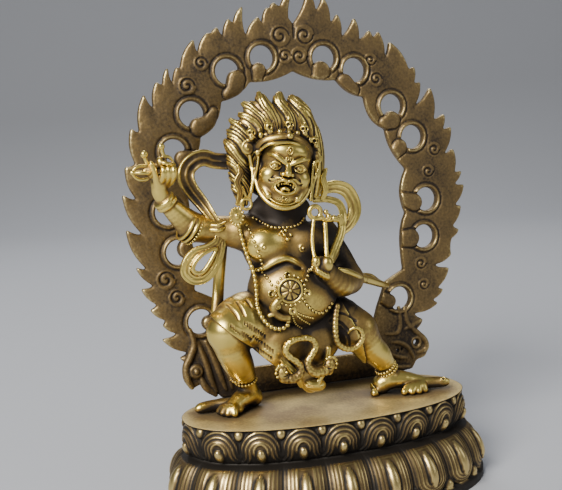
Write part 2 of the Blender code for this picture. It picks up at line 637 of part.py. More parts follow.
def fused(lumps):
    """The lumps as one skin with few faces, cut flat at the soles: points in millimetres, and faces."""
    holder = bpy.data.objects.new("clay", lumps)
    bpy.context.scene.collection.objects.link(holder)
    remesh = holder.modifiers.new("skin", "REMESH")
    remesh.mode = "VOXEL"
    remesh.voxel_size = REMESH_VOXEL * METRES_PER_MM
    soften = holder.modifiers.new("soften", "SMOOTH")
    soften.factor = 0.4
    soften.iterations = 2
    fewer = holder.modifiers.new("fewer", "DECIMATE")
    graph = bpy.context.evaluated_depsgraph_get()
    fewer.show_viewport = fewer.show_render = False
    graph.update()
    full = holder.evaluated_get(graph).to_mesh()
    fewer.ratio = FIGURE_TRIANGLES / (2.0 * len(full.polygons))
    fewer.show_viewport = fewer.show_render = True
    bpy.context.view_layer.update()
    graph = bpy.context.evaluated_depsgraph_get()
    skin = bmesh.new()
    skin.from_object(holder, graph)
    bmesh.ops.bisect_plane(
        skin,
        geom=skin.verts[:] + skin.edges[:] + skin.faces[:],
        plane_co=(0, 0, 0),
        plane_no=(0, 0, 1),
        clear_inner=True,
    )
    bmesh.ops.holes_fill(skin, edges=[edge for edge in skin.edges if edge.is_boundary])
    bmesh.ops.triangulate(skin, faces=skin.faces)
    keep_largest(skin)
    bpy.data.objects.remove(holder)
    points = [tuple(vert.co / METRES_PER_MM) for vert in skin.verts]
    for index, vert in enumerate(skin.verts):
        vert.index = index
    faces = [tuple(vert.index for vert in face.verts) for face in skin.faces]
    skin.free()
    return points, faces


def keep_largest(skin):
    """Drops crumbs that the fusing left loose."""
    left = set(skin.verts)
    bodies = []
    while left:
        body, edge = set(), [left.pop()]
        while edge:
            vert = edge.pop()
            body.add(vert)
            for link in vert.link_edges:
                other = link.other_vert(vert)
                if other in left:
                    left.discard(other)
                    edge.append(other)
        bodies.append(body)
    bodies.sort(key=len)
    bmesh.ops.delete(skin, geom=[vert for body in bodies[:-1] for vert in body], context="VERTS")
    skin.verts.index_update()


def main():
    for old in list(bpy.data.objects):
        bpy.data.objects.remove(old)
    lotus_base()
    flame_aureole()
    vajrapani_figure()


main()
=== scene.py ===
"""Looks of the Vajrapani statue: the carved brass base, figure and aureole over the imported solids.

Everything is drawn in millimetres above the top of the lotus base and becomes metres when a mesh is made.
The figure and the aureole are drawn as distances on a grid and skinned; the base is a fine loft.
"""

from math import cos, pi, radians, sin, sqrt

import bmesh
import bpy
import numpy as np
import openvdb
from mathutils import Matrix, Vector

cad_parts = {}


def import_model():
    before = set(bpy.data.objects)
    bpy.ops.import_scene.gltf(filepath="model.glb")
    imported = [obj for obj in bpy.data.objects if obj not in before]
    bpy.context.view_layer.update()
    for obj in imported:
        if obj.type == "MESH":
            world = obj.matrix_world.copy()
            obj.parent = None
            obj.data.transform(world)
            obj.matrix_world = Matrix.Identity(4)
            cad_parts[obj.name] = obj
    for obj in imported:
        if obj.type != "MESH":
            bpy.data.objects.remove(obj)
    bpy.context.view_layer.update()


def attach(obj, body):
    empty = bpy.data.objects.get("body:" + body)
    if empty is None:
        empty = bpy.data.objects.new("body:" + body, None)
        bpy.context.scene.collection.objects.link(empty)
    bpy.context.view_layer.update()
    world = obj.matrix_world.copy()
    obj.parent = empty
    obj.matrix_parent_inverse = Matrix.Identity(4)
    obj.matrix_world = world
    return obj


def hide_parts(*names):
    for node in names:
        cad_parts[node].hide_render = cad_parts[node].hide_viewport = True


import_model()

# Lengths in millimetres, and how fine the grids are
METRES_PER_MM = 0.001
BASE_HEIGHT = 38.0
SEAT_GAP = 0.3
SEAT = (0.0, 0.0, BASE_HEIGHT + SEAT_GAP)
FAR = 6.0
SHORTEST = 1e-6
COARSER = 1.0
FRONT = (0.0, -1.0, 0.0)

# Camera, as fitted to the photo
CAMERA_PLACE = (-138.997, -353.663, 157.760)
CAMERA_PAN = 18.864
CAMERA_TILT = 7.636
CAMERA_ROLL = 2.340
CAMERA_LENS = 57.65
CAMERA_SENSOR = 36.0
CAMERA_CLIP = 0.01

# Lotus base
WAIST_HEIGHT = 23.5
FOOT_BAND_HEIGHT = 3.6
RIM_HALF_WIDTH = 64.0
RIM_HALF_DEPTH = 30.3
WAIST_HALF_WIDTH = 60.5
WAIST_HALF_DEPTH = 27.0
FOOT_HALF_WIDTH = 72.0
FOOT_HALF_DEPTH = 42.0
OVAL_POWER = 2.2
PETALS = 18
PETAL_SHIFT = 0.68
PETAL_PITCH = 17.3
LOWER_PETAL_LENGTH = 24.0
LOWER_PETAL_INSET = 2.3
WAIST_GROOVE = 0.6
COLUMNS_PER_PETAL = 32
LOWER_ROWS = 46
UPPER_ROWS = 42

# Flame aureole
AUREOLE_INSET = 6.9
AUREOLE_LEAN = 1.73
PLATE_HALF = 1.5
PLATE_ROUND = 0.8
RING_CENTRE = 88.0
HOLE_RADIUS = 5.5
FOOT_BAR_HEIGHT = 12.0


# Distances on a grid


def bell(distance, width):
    return np.exp(-((distance / width) ** 2))


def ridge(distance, place, height, width):
    """Height of a rounded ridge at that distance from its middle; a height below zero makes a groove."""
    return height * bell(distance - place, width)


def ramp(values, start, length):
    """From 0 at the start to 1 a length further on; a length below zero runs the other way."""
    return np.clip((values - start) / length, 0.0, 1.0)


def smooth_min(a, b, soft):
    if soft <= 0.0:
        return np.minimum(a, b)
    return np.minimum(a, b) - np.maximum(soft - np.abs(a - b), 0.0) ** 2 / (4.0 * soft)


def smooth_route(route, radii, steps):
    """Points and radii along a Catmull-Rom curve through the route."""
    knots = np.array([(*point, radius) for point, radius in zip(route, radii)], float)
    padded = np.vstack([2 * knots[0] - knots[1], knots, 2 * knots[-1] - knots[-2]])
    found = []
    for a, b, c, d in zip(padded, padded[1:], padded[2:], padded[3:]):
        for step in range(steps):
            t = step / steps
            line = 2 * b + (c - a) * t
            square = (2 * a - 5 * b + 4 * c - d) * t**2
            cube = (3 * b - a - 3 * c + d) * t**3
            found.append(0.5 * (line + square + cube))
    found.append(knots[-1])
    found = np.array(found)
    return found[:, :-1], np.maximum(found[:, -1], 0.1)


def run_along(points):
    """How far along a line each of its points lies."""
    return np.concatenate([[0.0], np.cumsum(np.linalg.norm(np.diff(points, axis=0), axis=1))])


def crossways(along, length, face):
    """Unit directions through and across a band that runs along one line and faces face."""
    thin = np.array(face, float) - along * (np.dot(face, along) / length**2)
    thin /= np.linalg.norm(thin)
    return thin.astype(np.float32), np.cross(along / length, thin).astype(np.float32)


def spin(turn):
    """Rotation matrix for degrees about X, then Y, then Z."""
    made = Matrix.Identity(3)
    for axis, angle in zip("XYZ", turn):
        made = Matrix.Rotation(radians(angle), 3, axis) @ made
    return np.array(made)


def blurred(field, cells):
    """Two box blurs along each axis."""
    for _ in range(2):
        for axis in range(field.ndim):
            pad = [(0, 0)] * field.ndim
            pad[axis] = (cells + 1, cells)
            total = np.cumsum(np.pad(field, pad, mode="edge"), axis=axis, dtype=np.float32)
            count = field.shape[axis]
            ahead = [slice(None)] * field.ndim
            behind = [slice(None)] * field.ndim
            ahead[axis] = slice(2 * cells + 1, 2 * cells + 1 + count)
            behind[axis] = slice(0, count)
            field = (total[tuple(ahead)] - total[tuple(behind)]) / (2 * cells + 1)
    return field


def sampled(field, low, step, points):
    """Values of a grid at points, linear between its cells."""
    at = (points - low) / step
    top = np.array(field.shape) - 1.001
    at = np.clip(at, 0.0, top)
    cell = at.astype(int)
    part = at - cell
    found = np.zeros(len(points))
    for i in (0, 1):
        for j in (0, 1):
            for k in (0, 1):
                share = abs(1 - i - part[:, 0]) * abs(1 - j - part[:, 1]) * abs(1 - k - part[:, 2])
                found += share * field[cell[:, 0] + i, cell[:, 1] + j, cell[:, 2] + k]
    return found


class Clay:
    """A form drawn as distances on a grid, in millimetres."""

    def __init__(self, low, high, step):
        self.step = step * COARSER
        self.low = np.array(low, float)
        self.count = np.ceil((np.array(high, float) - self.low) / self.step).astype(int) + 1
        self.field = np.full(self.count, FAR, np.float32)

    def window(self, low, high):
        """The cells of a box: their slices and the places of their points."""
        first = np.floor((np.array(low, float) - self.low) / self.step).astype(int)
        last = np.ceil((np.array(high, float) - self.low) / self.step).astype(int) + 1
        first = np.clip(first, 0, self.count - 1)
        last = np.clip(last, first + 1, self.count)
        part = tuple(slice(a, b) for a, b in zip(first, last))
        axes = [self.low[k] + self.step * np.arange(first[k], last[k]) for k in range(3)]
        places = np.meshgrid(*[axis.astype(np.float32) for axis in axes], indexing="ij")
        return part, np.stack(places, -1)

    def axes(self):
        """The grid's places along x, y and z."""
        return [self.low[k] + self.step * np.arange(self.count[k]) for k in range(3)]

    def merge(self, part, distance, soft=0.0, cut=False):
        old = self.field[part]
        if cut:
            self.field[part] = -smooth_min(-old, distance, soft)
        else:
            self.field[part] = smooth_min(old, distance, soft)

    def ball(self, centre, radii, soft=1.0, turn=None, cut=False):
        reach = max(radii) + soft + 2.0 * self.step
        centre = np.array(centre, float)
        part, points = self.window(centre - reach, centre + reach)
        away = points - centre
        if turn is not None:
            away = away @ spin(turn)
        near = np.sqrt(((away / radii) ** 2).sum(-1)) + 1e-6
        steep = np.sqrt(((away / np.square(radii)) ** 2).sum(-1)) + 1e-6
        self.merge(part, near * (near - 1.0) / steep, soft, cut)

    def sweep(self, route, radii, soft, steps, spread, distance, cut=False):
        """Joins a form along a smooth line: spread says how far it reaches at each radius, and
        distance(along, length, run, away, size) how far points away from one stretch lie from the form."""
        if np.isscalar(radii):
            radii = [radii] * len(route)
        knots, sizes = smooth_route(route, radii, steps)
        reach = spread(sizes)
        margin = soft + 2.0 * self.step
        pad = reach.max() + margin
        whole, _ = self.window(knots.min(0) - pad, knots.max(0) + pad)
        near = np.full([s.stop - s.start for s in whole], FAR, np.float32)
        for k, run in enumerate(run_along(knots)[:-1]):
            a, b = knots[k : k + 2]
            along = b - a
            length = np.linalg.norm(along)
            if length < SHORTEST:
                continue
            pad = max(reach[k : k + 2]) + margin
            part, points = self.window(np.minimum(a, b) - pad, np.maximum(a, b) + pad)
            away = points - a.astype(np.float32)
            share = np.clip(away @ (along / length**2).astype(np.float32), 0.0, 1.0)
            away = away - share[..., None] * along.astype(np.float32)
            size = sizes[k] + (sizes[k + 1] - sizes[k]) * share
            inner = tuple(slice(p.start - w.start, p.stop - w.start) for p, w in zip(part, whole))
            found = distance(along, length, run + share * length, away, size)
            near[inner] = np.minimum(near[inner], found)
        self.merge(whole, near, soft, cut)

    def tube(self, route, radii, soft=0.8, flat=1.0, face=FRONT, shape=None, steps=4, cut=False):
        """A rounded rod; flat squeezes it along face, and shape(run, angle) scales its radius."""

        def distance(along, length, run, away, size):
            square = (away**2).sum(-1)
            if flat != 1.0 or shape is not None:
                thin, wide = crossways(along, length, face)
                through = away @ thin
                square = square + (1.0 / flat**2 - 1.0) * through**2
                if shape is not None:
                    size = size * shape(run, np.arctan2(through / flat, away @ wide))
            return np.sqrt(square) - size

        self.sweep(route, radii, soft, steps, lambda sizes: 1.35 * sizes, distance, cut)

    def strap(self, route, widths, thick, soft=0.5, face=FRONT, ridge=0.0, steps=5):
        """A flat band with rounded sides; ridge is the height of a rim along each side and in the middle."""
        rounding = thick * 0.7

        def distance(along, length, run, away, size):
            thin, wide = crossways(along, length, face)
            across = np.abs(away @ wide)
            side = across / size
            half = thick + ridge * (bell(side - 0.82, 0.16) + 0.8 * bell(side, 0.14) - 0.5)
            past = away @ (along / length).astype(np.float32)
            dx = np.maximum(across - size + rounding, 0.0)
            dy = np.maximum(np.abs(away @ thin) - half + rounding, 0.0)
            return np.sqrt(dx**2 + dy**2 + past**2) - rounding

        self.sweep(route, widths, soft, steps, lambda sizes: np.full(len(sizes), sizes.max()), distance)

    def front(self, x, z):
        """The first point of the form met from the front at that place, or None."""
        i = int(round((x - self.low[0]) / self.step))
        k = int(round((z - self.low[2]) / self.step))
        if not (0 <= i < self.count[0] and 0 <= k < self.count[2]):
            return None
        column = self.field[i, :, k]
        met = np.nonzero(column < 0.0)[0]
        if not len(met):
            return None
        j = met[0]
        before = column[j - 1] if j else column[j]
        share = before / (before - column[j]) if before > column[j] else 0.0
        return np.array([x, self.low[1] + (j - 1 + share) * self.step, z])


# Meshes and the worn or darkened places on them

# Each piece that is made, with its clay, how that is placed, and its material's slot
MADE = []

# How far round a point its hollow is measured, in millimetres, and how much each distance counts
HOLLOW_REACHES = ((0, 0.35), (0.8, 0.35), (2.4, 0.3))
REACH_PER_BLUR = 1.4


def linked(name, data):
    """A new object in the scene."""
    made = bpy.data.objects.new(name, data)
    bpy.context.scene.collection.objects.link(made)
    return made


def vectors(rows, name):
    """A vector for each of a mesh's vertices or normals."""
    found = np.empty(len(rows) * 3)
    rows.foreach_get(name, found)
    return found.reshape(-1, 3)


def keep_values(mesh, name, values):
    """Keeps a number at each point of a mesh, for its material to read."""
    mesh.attributes.new(name, "FLOAT", "POINT").data.foreach_set("value", values.astype(np.float32))


def skin(clay, name, node, slot, place=None, keep=1.0, tone=0.0):
    """The form's surface as one piece, with how hollow each of its points lies. Keep is the share of its
    faces that stay, and tone is patina that is added, everywhere or by place; for the torso and legs it is
    painted shade."""
    field = clay.field.copy()
    for axis in range(3):
        for end in (0, -1):
            edge = [slice(None)] * 3
            edge[axis] = end
            field[tuple(edge)] = FAR
    grid = openvdb.FloatGrid(FAR)
    grid.copyFromArray(np.ascontiguousarray(field))
    points, quads = grid.convertToQuads(isovalue=0.0)
    points = np.asarray(points, np.float64) * clay.step + clay.low
    corners = points[quads]
    volume = np.einsum("ij,ij->i", corners[:, 0], np.cross(corners[:, 1], corners[:, 2])).sum()
    volume += np.einsum("ij,ij->i", corners[:, 0], np.cross(corners[:, 2], corners[:, 3])).sum()
    if volume < 0.0:
        quads = quads[:, ::-1]
    mesh = bpy.data.meshes.new(name)
    mesh.from_pydata(points, [], quads)
    if keep < 1.0:
        mesh = fewer_faces(mesh, name, keep)
        points = vectors(mesh.vertices, "co")
    full = np.clip(0.5 - clay.field / (2.0 * clay.step), 0.0, 1.0)
    patina_and_shade = tone(*points.T) if callable(tone) else tone
    for reach, weight in HOLLOW_REACHES:
        cells = max(1, round(reach / clay.step / REACH_PER_BLUR))
        patina_and_shade = patina_and_shade + weight * sampled(blurred(full, cells), clay.low, clay.step, points)
    placed = place(points) if place else points
    finish_mesh(mesh, name, node, slot, placed, patina_and_shade, clay, place)


def fewer_faces(mesh, name, keep):
    """The mesh with that share of its faces."""
    holder = linked(name + "_full", mesh)
    fewer = holder.modifiers.new("fewer", "DECIMATE")
    fewer.ratio = keep
    graph = bpy.context.evaluated_depsgraph_get()
    found = bpy.data.meshes.new_from_object(holder.evaluated_get(graph))
    bpy.data.objects.remove(holder)
    bpy.data.meshes.remove(mesh)
    found.name = name
    return found


def finish_mesh(mesh, name, node, slot, placed, patina_and_shade, clay=None, place=None):
    """Lifts the points onto the base, in metres, and makes the piece."""
    lifted = (placed + SEAT) * METRES_PER_MM
    mesh.vertices.foreach_set("co", lifted.astype(np.float32).ravel())
    mesh.update()
    mesh.shade_smooth()
    keep_values(mesh, "patina_and_shade", patina_and_shade)
    piece = linked(name, mesh)
    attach(piece, "root")
    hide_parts(node)
    MADE.append((piece, clay, place, slot))


# Flame aureole, as sideways distance and height on its plate

# Round openings: the centre, and the lobe that curls into it as places with radii
HOLES = [
    ((-14.4, 148.5), [(-16.2, 143.2, 3.4), (-16.8, 139.8, 2.4)]),
    ((-30.4, 142.9), [(-26.4, 139.5, 4.1), (-27.5, 135.7, 3.9), (-30.8, 133.2, 2.4)]),
    ((-47.2, 125.3), [(-44, 119.6, 4.3), (-40, 121.2, 3.6), (-37.4, 126.2, 1.9)]),
    ((-56.1, 109.5), [(-51.9, 106.3, 3.9), (-48.3, 107, 2.9)]),
    ((-60.3, 84.1), [(-55.5, 83.5, 3.4), (-52.5, 83.2, 2.4)]),
    ((-56.6, 66.5), [(-52.6, 67.7, 4.4), (-48.5, 69.1, 3.4)]),
    ((-48.8, 35.3), [(-44.8, 34.3, 3.4), (-42, 35.8, 2.4)]),
    ((14.6, 148), [(12.9, 142.2, 4.6), (11.3, 139.6, 2.9)]),
    ((29.2, 142.4), [(24.3, 137.1, 3.9), (28, 133.4, 3.4)]),
    ((47.1, 125.7), [(47, 119.2, 4.3), (43.9, 118, 3.4)]),
    ((57.1, 111.2), [(50.5, 106.7, 3.9), (47.3, 103.1, 2.9)]),
    ((63.3, 81.8), [(57, 80.6, 4.3), (51.6, 82.4, 3.4)]),
    ((61.6, 64.3), [(54.6, 63.9, 4.6), (48.8, 63.9, 3.9)]),
    ((47.5, 35.9), [(42.4, 35, 3.4), (37.9, 37.9, 2.9)]),
]
# Scrolls: the centre, size and way of winding
SPIRALS = [
    (-5.7, 157.7, 4.3, 1), (-3.8, 149, 3.1, 1), (5.6, 158, 4.3, -1), (2.9, 148.9, 3.8, -1),
    (-41.9, 146.6, 2.9, 1), (-48.6, 137.1, 3.6, 1), (37.2, 146.6, 2.8, -1), (39.7, 138.1, 3.1, 1),
    (68.2, 104.9, 3.1, -1), (64.7, 94.8, 2.9, -1), (-63, 55.1, 3.9, 1), (-58.7, 46.9, 3.4, 1),
    (59.3, 51.6, 2.9, -1), (60.5, 41.4, 2.7, -1),
]
# Cusps of the inner edge: degrees from the top, radius, and how far the arc after it bows
INNER_CUSPS = [
    (0, 54.6, 2.6), (22, 54.2, 2.4), (38.5, 54, 3.6), (58, 51.5, 3), (81, 54.3, 3.8),
    (103, 54.1, 4), (127.5, 63.6, 0.4), (137, 59.8, 0.3), (148, 67, 0),
]
# Flames from the top down, each as its tip and the notch after it, and the outline below the last of them
TOP_NOTCH = (1.0, 163.0)
LEFT_TONGUES = [
    ((-1.8, 178), (4.6, 170.6)), ((7.6, 172.6), (9.4, 169.8)), ((10.8, 170.4), (13.1, 162.8)),
    ((14.7, 166.6), (21, 157.5)), ((21.4, 171.4), (26.4, 163.4)), ((28.4, 165.8), (31.2, 157.6)),
    ((33.5, 162), (36.4, 159.4)), ((38.6, 159.4), (42.8, 150.2)), ((44, 157.4), (51, 144.4)),
    ((52.4, 145.6), (54.2, 136.8)), ((56, 146), (58.8, 137.8)), ((61.6, 139.6), (63.2, 127.6)),
    ((67, 134.8), (70, 118.2)), ((73.6, 120.6), (72.6, 105.2)), ((77.2, 104.2), (72.9, 90)),
    ((79.2, 93.2), (71.2, 75)), ((78.6, 78.2), (70.4, 60)), ((75.8, 62.2), (68, 52.7)),
    ((73.9, 52.2), (67.1, 44.4)), ((70.6, 42.6), (64, 37.4)), ((65.6, 35.2), (58.8, 31)),
    ((66.6, 29.4), (55, 22.2)), ((59.2, 20.2), (54.4, 17.6)),
]
RIGHT_TONGUES = [
    ((8.4, 178), (12, 168.6)), ((15.6, 175.4), (18.8, 163.4)), ((22.2, 168), (23.8, 157)),
    ((30.4, 166.2), (32.4, 155.8)), ((37.4, 160.4), (39.2, 156.8)), ((42.2, 160), (44.8, 147.1)),
    ((47.4, 155.2), (57, 142.4)), ((59.8, 143.8), (59.4, 136)), ((62.8, 136.6), (58.8, 124.8)),
    ((67.8, 134), (69, 118.8)), ((74.8, 121.6), (73.6, 114)), ((78.3, 115.4), (73.8, 102.2)),
    ((78.9, 105), (79.3, 93.6)), ((83.4, 94.3), (79, 88)), ((84.3, 87.6), (79, 78)),
    ((82.4, 77.6), (77.4, 68)), ((81, 66.2), (76.6, 62)), ((76.2, 54), (66.2, 50.2)),
    ((74.9, 48.2), (68.2, 38.8)), ((71.8, 38.3), (65.3, 33.3)), ((68.9, 31.8), (55, 27.8)),
    ((60, 24.6), (55.4, 19.6)),
]
LEFT_HEAD = [(57.4, 14), (56.6, 9.6), (54, 5.8), (49, 8), (45, 4.6), (41, 0)]
RIGHT_HEAD = [(59, 17), (62.6, 10.4), (60.2, 6.4), (55.6, 5.2), (53.4, 1.4), (42, 0)]
BAR_CORNERS = [(33.6, 24), (30.5, FOOT_BAR_HEIGHT + 1.5), (26.0, FOOT_BAR_HEIGHT)]
SPLIT = [(1, 163.6, 0), (0.8, 157.4, 0)]
RISING_BOW = 0.07
FALLING_BOW = -0.1
BOW_POINTS = 6
CUSP_POINTS = 8
SCROLL_TURNS = 1.5

# Relief of the plate in millimetres. Ridges and grooves are given as place, height and width
EDGE_RISE = 0.5
EDGE_SLOPE = 5.0
HOLE_RIM = (0.9, 0.75, 0.75)
HOLE_GROOVE = (2.3, -0.55, 0.5)
HOLE_FADE = 0.8
LOBE_RISE = 0.95
LOBE_SLOPE = 2.2
LOBE_GROOVE = (0.1, -0.6, 0.42)
SCROLL_RISE = 0.45
SCROLL_GROOVE = (0, -0.85, 0.42)
SCROLL_EYE = (0, 0.35, 0.9)
SPLIT_GROOVE = (0, -0.8, 0.5)
NOWHERE = 50.0


def bowed(a, b, bow, count):
    """Points from a towards b along a line bent outward by a share of its length."""
    a, b = np.array(a, float), np.array(b, float)
    rise = b - a
    side = np.array([rise[1], -rise[0]])
    return [a + rise * t + side * bow * sin(pi * t) for t in np.arange(count) / count]


def side_outline(tongues, head):
    found = []
    root = TOP_NOTCH
    for tip, notch in tongues:
        found += bowed(root, tip, RISING_BOW, BOW_POINTS)
        found += bowed(tip, notch, FALLING_BOW, BOW_POINTS)
        root = notch
    found.append(np.array(root, float))
    return found + [np.array(point, float) for point in head]


def outer_outline():
    left = [(-s, h) for s, h in side_outline(LEFT_TONGUES, LEFT_HEAD)[1:]]
    right = [(s, h) for s, h in side_outline(RIGHT_TONGUES, RIGHT_HEAD)]
    return np.array([tuple(p) for p in reversed(left)] + [tuple(p) for p in right])


def inner_outline():
    found = []
    for (angle, radius, depth), (angle_after, radius_after, _) in zip(INNER_CUSPS, INNER_CUSPS[1:]):
        for share in np.arange(CUSP_POINTS) / CUSP_POINTS:
            at = radians(angle + (angle_after - angle) * share)
            r = radius + (radius_after - radius) * share - depth * sin(pi * share) ** 0.8
            found.append((r * sin(at), RING_CENTRE + r * cos(at)))
    found += BAR_CORNERS
    return np.array(found + [(-s, h) for s, h in reversed(found[1:])])


def flat_distance(polygon, across, up):
    """Distance to a closed outline on a flat grid, below zero inside it."""
    far = 5.0
    step = across[1] - across[0]
    found = np.full((len(across), len(up)), far, np.float32)
    inside = np.zeros(found.shape, bool)
    after = np.roll(polygon, -1, axis=0)
    for j, h in enumerate(up):
        cross = (polygon[:, 1] > h) != (after[:, 1] > h)
        a, b = polygon[cross], after[cross]
        at = np.sort(a[:, 0] + (h - a[:, 1]) * (b[:, 0] - a[:, 0]) / (b[:, 1] - a[:, 1]))
        inside[:, j] = np.searchsorted(at, across) % 2 == 1
    for a, b in zip(polygon, after):
        i0, j0 = (np.floor((np.minimum(a, b) - far - (across[0], up[0])) / step)).astype(int)
        i1, j1 = (np.ceil((np.maximum(a, b) + far - (across[0], up[0])) / step)).astype(int) + 1
        i0, j0 = max(i0, 0), max(j0, 0)
        s, h = np.meshgrid(across[i0:i1], up[j0:j1], indexing="ij")
        if not s.size:
            continue
        run = b - a
        share = np.clip(((s - a[0]) * run[0] + (h - a[1]) * run[1]) / max(run @ run, 1e-9), 0.0, 1.0)
        away = np.hypot(s - a[0] - share * run[0], h - a[1] - share * run[1])
        found[i0:i1, j0:j1] = np.minimum(found[i0:i1, j0:j1], away)
    return np.where(inside, -found, found)


def blob_distance(route, s, h):
    """Distance to a flat rounded stroke given as points with radii."""
    found = np.full(s.shape, NOWHERE)
    for (s0, h0, r0), (s1, h1, r1) in zip(route, route[1:]):
        ds, dh = s1 - s0, h1 - h0
        share = np.clip(((s - s0) * ds + (h - h0) * dh) / (ds * ds + dh * dh), 0.0, 1.0)
        away = np.hypot(s - s0 - share * ds, h - h0 - share * dh)
        found = np.minimum(found, away - (r0 + (r1 - r0) * share))
    return found


def aureole_relief(s, h, edge):
    """How far the front stands out from the flat plate, and the openings' distance."""
    relief = EDGE_RISE * ramp(-edge, 0.0, EDGE_SLOPE)
    opening = np.full(s.shape, NOWHERE)
    for (cs, ch), lobe in HOLES:
        ring = np.hypot(s - cs, h - ch) - HOLE_RADIUS
        leaf = blob_distance(lobe, s, h)
        opening = np.minimum(opening, np.maximum(ring, -leaf))
        relief += ramp(leaf, 0.0, HOLE_FADE) * (ridge(ring, *HOLE_RIM) + ridge(ring, *HOLE_GROOVE))
        relief += LOBE_RISE * ramp(-leaf, 0.0, LOBE_SLOPE) ** 0.6 + ridge(leaf, *LOBE_GROOVE)
    for cs, ch, size, way in SPIRALS:
        ring = np.hypot(s - cs, h - ch)
        angle = (way * np.arctan2(h - ch, s - cs)) % (2.0 * pi)
        groove = np.full(s.shape, NOWHERE)
        for turn in range(2):
            at = size * (1.0 - (angle + 2.0 * pi * turn) / (2.0 * pi * SCROLL_TURNS))
            groove = np.minimum(groove, np.where(at > 0.0, np.abs(ring - at), NOWHERE))
        near = ramp(ring, size + 0.6, -0.5)
        relief += near * (SCROLL_RISE + ridge(groove, *SCROLL_GROOVE)) + ridge(ring, *SCROLL_EYE)
    relief += ridge(blob_distance(SPLIT, s, h), *SPLIT_GROOVE)
    return relief, opening


def aureole_lean(points):
    """From the plate's own sideways, depth and height to the place on the base."""
    lean = radians(AUREOLE_LEAN)
    s, depth, h = points.T
    return np.stack([
        s,
        RIM_HALF_DEPTH - AUREOLE_INSET + depth * cos(lean) + h * sin(lean),
        PLATE_HALF * sin(lean) - depth * sin(lean) + h * cos(lean),
    ], 1)


def aureole_unlean(x, y, z):
    """From a place on the base back to the plate's own."""
    lean = radians(AUREOLE_LEAN)
    up = z - PLATE_HALF * sin(lean)
    back = y - (RIM_HALF_DEPTH - AUREOLE_INSET)
    return [x, back * cos(lean) - up * sin(lean), up * cos(lean) + back * sin(lean)]


def aureole_clay():
    clay = Clay((-86, -4.6, -0.8), (86, 2.4, 179), 0.42)
    across, depth, up = clay.axes()
    outer = flat_distance(outer_outline(), across, up)
    inner = flat_distance(inner_outline(), across, up)
    s, h = np.meshgrid(across, up, indexing="ij")
    edge = np.maximum(outer, -inner)
    relief, opening = aureole_relief(s, h, edge)
    edge = blurred(np.maximum(edge, -opening).astype(np.float32), 1)
    half = PLATE_HALF + relief / 2.0
    beside = edge[:, None, :] + PLATE_ROUND
    through = np.abs(depth[None, :, None] + relief[:, None, :] / 2.0) - half[:, None, :] + PLATE_ROUND
    outside = np.sqrt(np.maximum(beside, 0.0) ** 2 + np.maximum(through, 0.0) ** 2)
    clay.field = (np.minimum(np.maximum(beside, through), 0.0) + outside - PLATE_ROUND).astype(np.float32)
    add_creatures(clay)
    return clay


def add_creatures(clay):
    """The two creatures' heads at the foot of the aureole, in relief on the plate."""
    front = -PLATE_HALF

    def raised(route, lift=0.0):
        return [(s, front - lift, h) for s, h in route]

    crest = [(-53.9, 32.2), (-52.5, 25.9), (-54.6, 20.3), (-56.7, 16.1), (-56.5, 11.2), (-54.6, 6.9)]
    clay.tube(raised(crest, 0.3), [1.0, 1.6, 1.7, 1.6, 1.7, 1.2], 0.6)
    clay.ball((-52.3, front - 0.4, 13.8), (3.4, 1.6, 3.6), 0.6)
    clay.tube(circle((-52.3, front - 1.3, 13.8), 2.5, 2.4, 9), 0.55, 0.2)
    clay.ball((-52.3, front - 2.0, 13.8), (1.2, 0.9, 1.2), 0.1)
    for mane in (
        [(-50.8, 26.3), (-48, 17.7), (-46.2, 10.3), (-43.9, 3.7)],
        [(-47.1, 26.2), (-43.9, 18.1), (-41.6, 10.6), (-39.3, 3.9)],
        [(-43.1, 24.3), (-40.3, 17.7), (-37.6, 10), (-36.6, 4.2)],
        [(-50.3, 10.8), (-48.3, 6.1), (-44, 1.9)],
    ):
        clay.tube(raised(mane), tapered(mane, 1.1, 1.7, 1.0), 0.35)
    for mane in (
        [(46.9, 31.5), (47.2, 24.1), (45.5, 19.9), (39.7, 19.7)],
        [(49.9, 31), (51.2, 23.7), (55.8, 18.9), (60.1, 14.4), (60.4, 10.4), (56.1, 9)],
        [(57.8, 24.3), (53.4, 22.4), (49.2, 21)],
        [(42.6, 15.5), (46.7, 14.9), (50.8, 12.2), (53.8, 7)],
        [(41.5, 10), (45.4, 8.2), (50, 7.2)],
        [(40.5, 4.6), (45.4, 3.2), (51, 2.8)],
    ):
        clay.tube(raised(mane), tapered(mane, 0.9, 1.4, 0.9), 0.35)
    clay.tube(circle((55.2, front - 0.4, 13.9), 2.3, 2.4, 9), 0.7, 0.2)
    for s, h, size, soft in ((55.2, 13.9, 1.3, 0.3), (45.6, 11.2, 0.8, 0.2), (47.6, 11.6, 0.7, 0.2)):
        clay.tube([(s, -6.0, h), (s, 4.0, h)], size, soft, cut=True)


def flame_aureole():
    skin(aureole_clay(), "aureole", "flame_aureole", "aureole_brass", aureole_lean, keep=0.35)


# Figure


def moved(route, x, y, z):
    return [(px + x, py + y, pz + z) for px, py, pz in route]


def tapered(route, start, middle, end):
    """Radii for a route that is thinner at its ends."""
    return [start] + [middle] * (len(route) - 2) + [end]


def rings(pitch, depth):
    """Radius factor for a body made of rings along its length, with thin gaps between them."""
    return lambda run, angle: 1.0 - depth * bell((run / pitch - np.round(run / pitch)) * pitch, 0.3)


def pits(pitch, depth, around=7):
    """Radius factor for staggered rows of small pits on a snake's skin."""

    def factor(run, angle):
        row = np.floor(run / pitch)
        along = (run / pitch - row - 0.5) * pitch
        turn = angle * around / (2.0 * pi) + 0.5 * (row % 2)
        aside = (turn - np.floor(turn) - 0.5) * 2.0 * pi * 1.5 / around
        return 1.0 - depth * np.exp(-((along / 0.42) ** 2) - (aside / 0.42) ** 2)

    return factor


